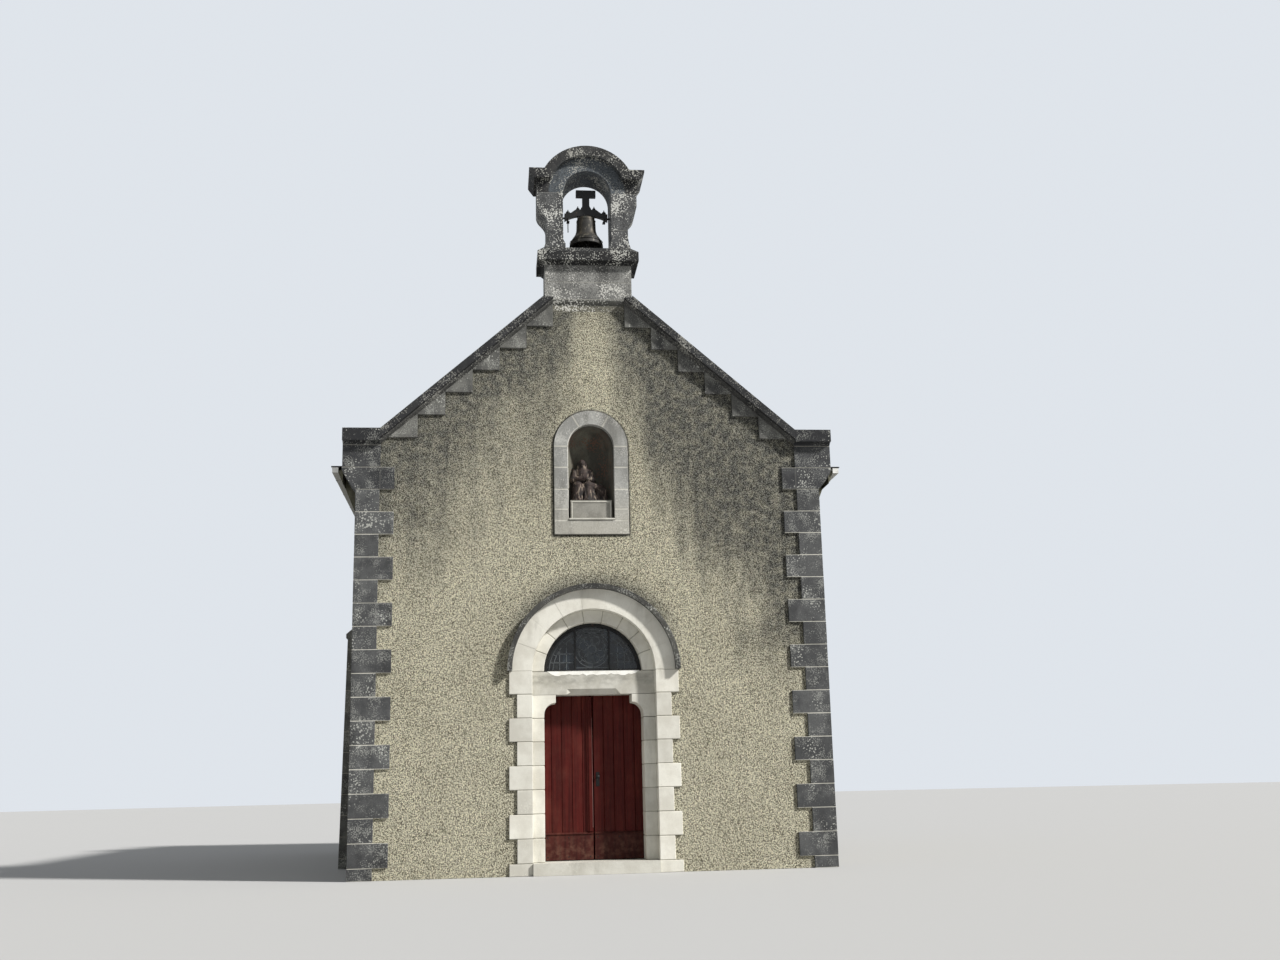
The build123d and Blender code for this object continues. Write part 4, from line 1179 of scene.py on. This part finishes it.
def door_boards():
    """Upright boards outside, level ones inside, a kick board with a weathered top, nails and a lock."""
    low, high = 0.158, 2.275
    meeting_edge, hinge_edge, kick_edge, kick_top = 0.006, 0.684, 0.637, 0.482
    kick_face, near, middle, far = front + 0.454, front + 0.476, front + 0.5, front + 0.53
    board_count, row_count = 5, 11
    board, row = (hinge_edge - meeting_edge) / board_count, (high - low) / row_count
    for side, name in sides:
        boards, kick, iron = new_stones(), new_stones(), new_stones()
        for index in range(board_count):
            x = meeting_edge + index * board
            lay_block(boards, (side * x, near, low), (side * (x + board - 0.003), middle + 0.004, high),
                      0.007)
        for index in range(row_count):
            z = low + (high - low) * index / row_count
            lay_block(boards, (side * meeting_edge, middle + 0.002, z),
                      (side * hinge_edge, far, z + row - 0.0015), 0.004)
        back, drip = near + 0.002, kick_face - 0.014
        lay_block(kick, (side * 0.01, kick_face, low), (side * kick_edge, back, kick_top), 0.004)
        outline = [(drip, kick_top - 0.002), (drip, kick_top + 0.007), (back, kick_top + 0.022),
                   (back, kick_top - 0.002)]
        lay_prism(kick, outline, side * 0.01, side * kick_edge, 0.002, True)
        for x in (0.05, 0.33, 0.6):
            for z in (0.2, 0.44):
                round_bar(iron, (side * x, kick_face - 0.004, z), (side * x, kick_face + 0.002, z), 0.007,
                          0.008, 12)
        if side > 0:
            lay_lock(iron)
        body = f"door_{name}"
        finish_piece(f"door_boards_{name}", boards, door_finish, body,
                     replaced=f"door_leaf_{name}")
        finish_piece(f"door_kick_board_{name}", kick, kick_finish, body)
        finish_piece(f"door_iron_{name}", iron, black_iron, body, smooth=40)
    strip, edge = new_stones(), new_stones()
    lay_block(strip, (-0.087, front + 0.452, 0.506), (-0.009, front + 0.478, 2.244), 0.008)
    lay_block(strip, (-0.064, front + 0.44, 0.506), (-0.032, front + 0.456, 2.2), 0.008)
    finish_piece("door_strip_board", strip, door_finish, "door_left",
                 replaced="door_cover_strip")
    # A thin pale strip: a painted highlight on the lit edge of the cover strip.
    lay_block(edge, (-0.018, front + 0.4512, 0.56), (-0.0085, ring_back, 1.96), 0.002)
    finish_piece("door_strip_edge", edge, highlight_edge_finish, "door_left")


def lay_lock(iron):
    """The plate, its keyhole's boss and the knob of the right leaf."""
    x, knob, boss = 0.059, 1.2, 1.12
    lay_block(iron, (x - 0.023, ring_back, 1.08), (x + 0.023, ring_back + 0.007, 1.26), 0.002)
    ball(iron, (x, ring_back - 0.002, boss), (0.009, 0.006, 0.009), segments=12)
    round_bar(iron, (x, front + 0.43, knob), (x, ring_back + 0.004, knob), 0.009, 0.014, 14)
    ball(iron, (x, front + 0.428, knob), (0.024, 0.015, 0.024), segments=16)


# Fanlight leads

def fanlight_leads():
    """A rose of petals between two rings, a double arch joined by ties, and straight cames."""
    bm = new_stones()
    face, depth = front + 0.367, 0.007
    rose, tie_in, tie_out = springing + 0.3, 0.185, 0.232
    arch_in, arch_out = 0.52, 0.57
    petal_reach = 0.118
    middle, foot = Vector((0, face, rose)), Vector((0, face, springing))

    def came(x_one, x_other, low, high):
        lay_block(bm, (x_one, face - depth / 2, low), (x_other, face + depth / 2, high), 0)

    def heading(angle):
        return Vector((cos(angle), 0, sin(angle)))

    for radius, width in ((tie_out, 0.011), (tie_in, 0.009), (0.052, 0.01)):
        ring_bar(bm, middle, (0, 1, 0), radius, (width, depth), 48)
    for index in range(8):
        petal = middle + heading(index * pi / 4 + pi / 8) * petal_reach
        ring_bar(bm, petal, (0, 1, 0), 0.058, (0.008, depth), 20)
    for index in range(8):
        reach = heading(index * pi / 4)
        round_bar(bm, middle + reach * tie_in, middle + reach * tie_out, 0.005, segments=6)
    for radius in (arch_out, arch_in):
        ring_bar(bm, foot, (0, -1, 0), radius, (0.009, depth), 48, pi * 0.976, heading(0.036))
    for index in range(-8, 9):
        reach = heading(pi / 2 + index * 0.19)
        if (foot + reach * arch_in).z > springing + 0.04:
            round_bar(bm, foot + reach * arch_in, foot + reach * arch_out, 0.005, segments=6)
    for side in (-1, 1):
        for level in (0.13, 0.245):
            end = sqrt(arch_in ** 2 - level ** 2)
            came(side * 0.235, side * end, springing + level - 0.005, springing + level + 0.005)
        for x in (0.34, 0.43):
            top = springing + sqrt(arch_in ** 2 - x ** 2)
            came(side * (x - 0.005), side * (x + 0.005), springing + 0.034, top)
    came(-0.22, 0.22, springing + 0.06 - 0.004, springing + 0.06 + 0.004)
    finish_piece("fanlight_leads", bm, lead_finish)


# Bell furniture

def bell_details():
    """Beads round the bell, and the yoke's bolts, plates and caps."""
    beads, bolts = new_stones(), new_stones()
    mouth = bell_axis - 0.43
    for height, radius, width in ((0.19, 0.146, 0.008), (0.205, 0.143, 0.006), (0.055, 0.232, 0.007),
                                  (0.385, 0.128, 0.006), (0.37, 0.1295, 0.005)):
        ring_bar(beads, (0, bell_y, mouth + height), (0, 0, 1), radius, (width, width), 48, start=(1, 0, 0))
    finish_piece("bell_beads", beads, bell_bronze, "bell", smooth=40)

    def bolt(x, y, low, high, radius, segments=10):
        round_bar(bolts, (x, bell_y + y, bell_axis + low), (x, bell_y + y, bell_axis + high), radius,
                  segments=segments)

    def plate(one, other, deep, low, high, width):
        lay_block(bolts, (one, bell_y - deep, bell_axis + low), (other, bell_y + deep, bell_axis + high),
                  width)

    for side in (-1, 1):
        for x, low, high in ((0.115, -0.06, 0.175), (0.255, -0.07, 0.12)):
            for y in (-0.02, 0.02):
                bolt(side * x, y, low, high, 0.007)
                bolt(side * x, y, high - 0.045, high - 0.025, 0.018, 6)
            plate(side * (x - 0.02), side * (x + 0.02), 0.042, low + 0.004, low + 0.016, 0.002)
        plate(side * 0.228, side * 0.284, 0.03, 0.04, 0.094, 0.008)
        plate(side * 0.09, side * 0.138, 0.03, 0.1, 0.148, 0.008)
        for y in (-0.03, 0.03):
            bolt(side * 0.03, y, -0.01, 0.05, 0.01)
    for x in (-0.1, 0.1):
        bolt(x, 0, 0.41, 0.428, 0.013, 6)
    ring_bar(bolts, (-0.256, bell_y, bell_axis - 0.2), (1, 0, 0), 0.013, (0.005, 0.005), 18)
    finish_piece("yoke_bolts", bolts, black_iron, "bell", smooth=40)


# Roof

slate_columns = 38
slate_gauge = 0.118
slate_length = 0.29
slate_thick = 0.006
slate_spacing = 8.29 / slate_columns
deck_drop = 0.024
eave_end = Vector((3.405, 0, 5.35))
roof_break = Vector((2.6, 0, roof_apex - slope * 2.6))
ridge_middle = roof_apex - 0.082


def deck_point(distance):
    """A point on the boarding, a given way up the slope from the eave."""
    low = Vector((eave_end.x, 0, eave_end.z - deck_drop))
    knee = Vector((roof_break.x, 0, roof_break.z - deck_drop))
    top = Vector((0, 0, roof_apex - deck_drop))
    first = (knee - low).length
    if distance <= first:
        return low + (knee - low) * (distance / first)
    return knee + (top - knee).normalized() * (distance - first)


def slate_mesh(wide):
    """One slate lying along X with its lower end at 0 and its underside at Z 0."""
    part = squared(Vector((0, -wide / 2, 0)), Vector((slate_length, wide / 2, slate_thick)))
    mesh = bpy.data.meshes.new("slate")
    part.to_mesh(mesh)
    part.free()
    return mesh


def slate_row(row, slate, half_slate):
    """The middles of a row's slates in Y, with each one's mesh; every second row is staggered."""
    low = 0.005 - roof_half_length
    if row % 2 == 0:
        return [(low + slate_spacing * (index + 0.5), slate) for index in range(slate_columns)]
    placed = [(low + slate_spacing * (index + 1), slate) for index in range(slate_columns - 1)]
    return placed + [(low + slate_spacing / 4, half_slate), (-low - slate_spacing / 4, half_slate)]


def lay_slates(laid, side, slate, half_slate):
    """Rows up one slope, each slate at its own slight lean."""
    overhang = 0.012
    row = 0
    while True:
        low = -overhang + row * slate_gauge
        a, b = deck_point(max(low, 0)), deck_point(low + slate_length)
        if b.x < 0.03:
            return
        if row == 0:
            a = deck_point(0) + (deck_point(0) - deck_point(0.1)).normalized() * overhang
        up = (b - a).normalized()
        out = Vector((up.z, 0, -up.x))
        for place_y, mesh in slate_row(row, slate, half_slate):
            lean = 0.045 + random.uniform(0, 0.006)
            axis_x = (up * cos(lean) - out * sin(lean)).normalized()
            axis_z = (out * cos(lean) + up * sin(lean)).normalized()
            start = a + out * (0.0125 + random.uniform(0, 0.001))
            start += up * random.uniform(-0.003, 0.003) + Vector((0, place_y, 0))
            for vector in (axis_x, axis_z, start):
                vector.x *= side
            basis = Matrix((axis_x, (0, side, 0), axis_z)).transposed()
            add_copy(laid, mesh, Matrix.Translation(start) @ basis.to_4x4(), random.random())
        row += 1


def slate_roofs():
    """The slates of both slopes, the boarding and rafters under them, and the painted fascias."""
    under_apex = roof_apex - 0.21
    eave_under, foot, wall_side = 5.29, 5.2503, 3.285
    fascia_low, fascia_high, fascia_half = 5.286, 5.328, roof_half_length + 0.002
    outline = [(0, roof_apex - deck_drop), (roof_break.x, roof_break.z - deck_drop),
               (eave_end.x, eave_end.z - deck_drop), (eave_end.x, eave_under), (wall_side, eave_under),
               (wall_side, foot), ((under_apex - foot) / slope, foot), (0, under_apex)]
    slate = slate_mesh(slate_spacing - 0.004)
    half_slate = slate_mesh(slate_spacing / 2 - 0.004)
    for side, name in sides:
        laid, deck, fascia = new_stones(), new_stones(), new_stones()
        lay_slates(laid, side, slate, half_slate)
        lay_prism(deck, [(side * x, z) for x, z in outline], -roof_half_length, roof_half_length, 0)
        finish_piece(f"roof_slates_{name}", laid, slates, replaced=f"roof_{name}")
        finish_piece(f"roof_deck_{name}", deck, rafter_finish)
        lay_block(fascia, (side * (wall_side - 0.01), -fascia_half, fascia_low),
                  (side * (eave_end.x + 0.003), fascia_half, fascia_high), 0.002)
        finish_piece(f"eaves_fascia_{name}", fascia, fascia_finish)
    bpy.data.meshes.remove(slate)
    bpy.data.meshes.remove(half_slate)


def ridge_tiles():
    """Half-round clay ridge tiles, each lapping the next, bedded in mortar."""
    tiles, bed = new_stones(), new_stones()
    count = 20
    each = 2 * roof_half_length / count
    for index in range(count):
        part = bmesh.new()
        bmesh.ops.create_cone(part, cap_ends=False, segments=28, radius1=0.131, radius2=0.12,
                              depth=each + 0.03)
        turn = Matrix.Translation((0, each / 2, 0)) @ Matrix.Rotation(-pi / 2, 4, "X")
        bmesh.ops.transform(part, matrix=turn, verts=part.verts)
        geometry = part.verts[:] + part.edges[:] + part.faces[:]
        bmesh.ops.bisect_plane(part, geom=geometry, plane_co=(0, 0, -0.02), plane_no=(0, 0, 1),
                               clear_inner=True)
        bmesh.ops.recalc_face_normals(part, faces=part.faces)
        if sum(f.normal.z for f in part.faces) < 0:
            bmesh.ops.reverse_faces(part, faces=part.faces)
        bmesh.ops.solidify(part, geom=part.faces[:], thickness=0.014)
        start = -roof_half_length + index * each + random.uniform(0, 0.004)
        if index == 0:
            start = 0.02 - roof_half_length
        if index == count - 1:
            start = roof_half_length - 0.016 - each
        bmesh.ops.translate(part, vec=(0, start, ridge_middle), verts=part.verts)
        drop_in(tiles, part)
    toe, shoulder = 0.165, 0.122
    toe_level, shoulder_level = roof_apex - slope * toe - 0.004, ridge_middle + 0.012
    lap = [(-toe, toe_level), (-shoulder, shoulder_level), (0, ridge_middle + 0.1),
           (shoulder, shoulder_level), (toe, toe_level), (0, roof_apex - 0.06)]
    lay_prism(bed, lap, 0.005 - roof_half_length, roof_half_length - 0.005, 0)
    finish_piece("ridge_tiles", tiles, ridge_clay, smooth=40, replaced="ridge")
    finish_piece("ridge_bedding", bed, mortar_finish)


def gutter_details():
    """Straps about the box gutters, a rolled front edge, and a black drip over each end whose black also
    paints in the shade there.
    """
    strap_count, strap_spacing, strap_half, thick = 10, 0.9, 0.013, 0.004
    straps, drips = new_stones(), new_stones()
    low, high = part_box("gutters")
    inner, outer = high.x - 0.08, high.x
    kneeler_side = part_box("kneelers_front")[1].x
    for side in (-1, 1):
        round_bar(straps, (side * outer, low.y + 0.003, high.z), (side * outer, high.y - 0.003, high.z),
                  0.006, segments=10)
        for index in range(strap_count):
            middle = (index - (strap_count - 1) / 2) * strap_spacing
            one, other = middle - strap_half, middle + strap_half
            lay_block(straps, (side * inner, one, low.z - thick), (side * (outer + thick), other, low.z),
                      0.001)
            lay_block(straps, (side * outer, one, low.z - thick),
                      (side * (outer + thick), other, high.z + 0.01), 0.001)
            lay_block(straps, (side * (inner + 0.002), one, high.z + 0.001),
                      (side * (outer + thick), other, high.z + 0.005), 0.001)
        # Black iron drips over the gutter ends; their black also paints in the shade over the ends.
        for way in (-1, 1):
            lay_block(drips,
                      (side * (kneeler_side + 0.002), way * (roof_half_length + 0.003), high.z + 0.005),
                      (side * (outer + 0.014), way * (high.y + 0.008), high.z + 0.017), 0.002)
    finish_piece("gutter_straps", straps, gutter_finish)
    finish_piece("eaves_drips", drips, black_iron)


quoin_stones()
gable_step_stones()
portal_stones()
lintel_stone()
portal_arches()
niche_pieces()
window_pieces()
seated_figure()
door_boards()
fanlight_leads()
bell_details()
slate_roofs()
ridge_tiles()
gutter_details()

# Finishes for the CAD nodes that show as they are

node_finish = {
    roughcast: ("front_wall_upper", "front_wall_left", "front_wall_right", "rear_wall", "side_wall_left",
                "side_wall_right"),
    kneeler_finish: ("kneelers_front", "kneelers_rear"),
    coping_finish: ("copings_front", "copings_rear"),
    cornice_finish: ("bellcote_cornice",),
    crown_finish: ("bellcote_crown",),
    shaded_soffit_finish: ("eaves_cornices",),
    hood_finish: ("hood_mould",),
    flags_finish: ("floor_slab",),
    portal_finish: ("door_sill",),
    pedestal_finish: ("niche_pedestal",),
    bellcote_finish: ("bellcote_base",),
    pier_finish: ("bellcote_pier_left", "bellcote_pier_right"),
    buttress_finish: ("buttresses",),
    gutter_finish: ("gutters",),
    black_iron: ("fanlight_frame", "bell_bearings", "bell_yoke", "bell_clapper", "bell_lever",
                 "door_hinges_left", "door_hinges_right", "door_pintles"),
    bell_bronze: ("bell",),
    fanlight_glass_finish: ("fanlight_glass",),
    window_glass_finish: ("window_glass",),
}
for material, names in node_finish.items():
    for name in names:
        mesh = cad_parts[name].data
        mesh.materials.clear()
        mesh.materials.append(material)


# Floor, light and camera

def studio():
    scene = bpy.context.scene
    scene.view_settings.view_transform = "Standard"
    bm = bmesh.new()
    bmesh.ops.create_circle(bm, cap_ends=True, segments=64, radius=140)
    mesh = bpy.data.meshes.new("studio_floor")
    bm.to_mesh(mesh)
    bm.free()
    floor = bpy.data.objects.new("studio_floor", mesh)
    floor.location.z = -0.002
    scene.collection.objects.link(floor)
    pale = Finish("studio floor", Roughness=0.95)
    mesh.materials.append(pale.done((0.5, 0.5, 0.495, 1)))

    world = bpy.data.worlds.new("studio")
    scene.world = world
    world.use_nodes = True
    tree = world.node_tree
    tree.nodes.clear()
    path = add_node(tree, "ShaderNodeLightPath").outputs
    seen = calculate(tree, "MAXIMUM", path["Is Camera Ray"],
                     calculate(tree, "MAXIMUM", path["Is Glossy Ray"], path["Is Transmission Ray"]))
    fill = add_node(tree, "ShaderNodeBackground", {"Color": (0.94, 0.97, 1, 1), "Strength": 0.3})
    sky = add_node(tree, "ShaderNodeBackground", {"Color": (0.74, 0.78, 0.83, 1), "Strength": 1})
    blend = add_node(tree, "ShaderNodeMixShader", {0: seen, 1: fill.outputs[0], 2: sky.outputs[0]})
    add_node(tree, "ShaderNodeOutputWorld", {"Surface": blend.outputs[0]})

    key = bpy.data.lights.new("key", "SUN")
    key.energy = 4.9
    key.angle = radians(5)
    key.color = (1, 0.98, 0.95)
    lamp = bpy.data.objects.new("key", key)
    lamp.rotation_mode = "QUATERNION"
    lamp.rotation_quaternion = Vector((-1.6, 1, -1.45)).to_track_quat("-Z", "Y")
    scene.collection.objects.link(lamp)


def set_camera():
    """The photograph's own place and angle."""
    yaw, pitch, roll = 0.10942, 0.22301, -0.0236
    ahead = Vector((sin(yaw) * cos(pitch), cos(yaw) * cos(pitch), sin(pitch)))
    level = Vector((cos(yaw), -sin(yaw), 0))
    upright = level.cross(ahead)
    right = level * cos(roll) + upright * sin(roll)
    up = upright * cos(roll) - level * sin(roll)
    place = (-1.2772, -22.2935, 1.0619)
    lens = bpy.data.cameras.new("camera")
    lens.sensor_width = 36
    lens.lens = 38.01
    lens.clip_end = 500
    camera = bpy.data.objects.new("camera", lens)
    turn = Matrix((right, up, -ahead)).transposed().to_4x4()
    camera.matrix_world = Matrix.Translation(place) @ turn
    bpy.context.scene.collection.objects.link(camera)
    bpy.context.scene.camera = camera


studio()
set_camera()
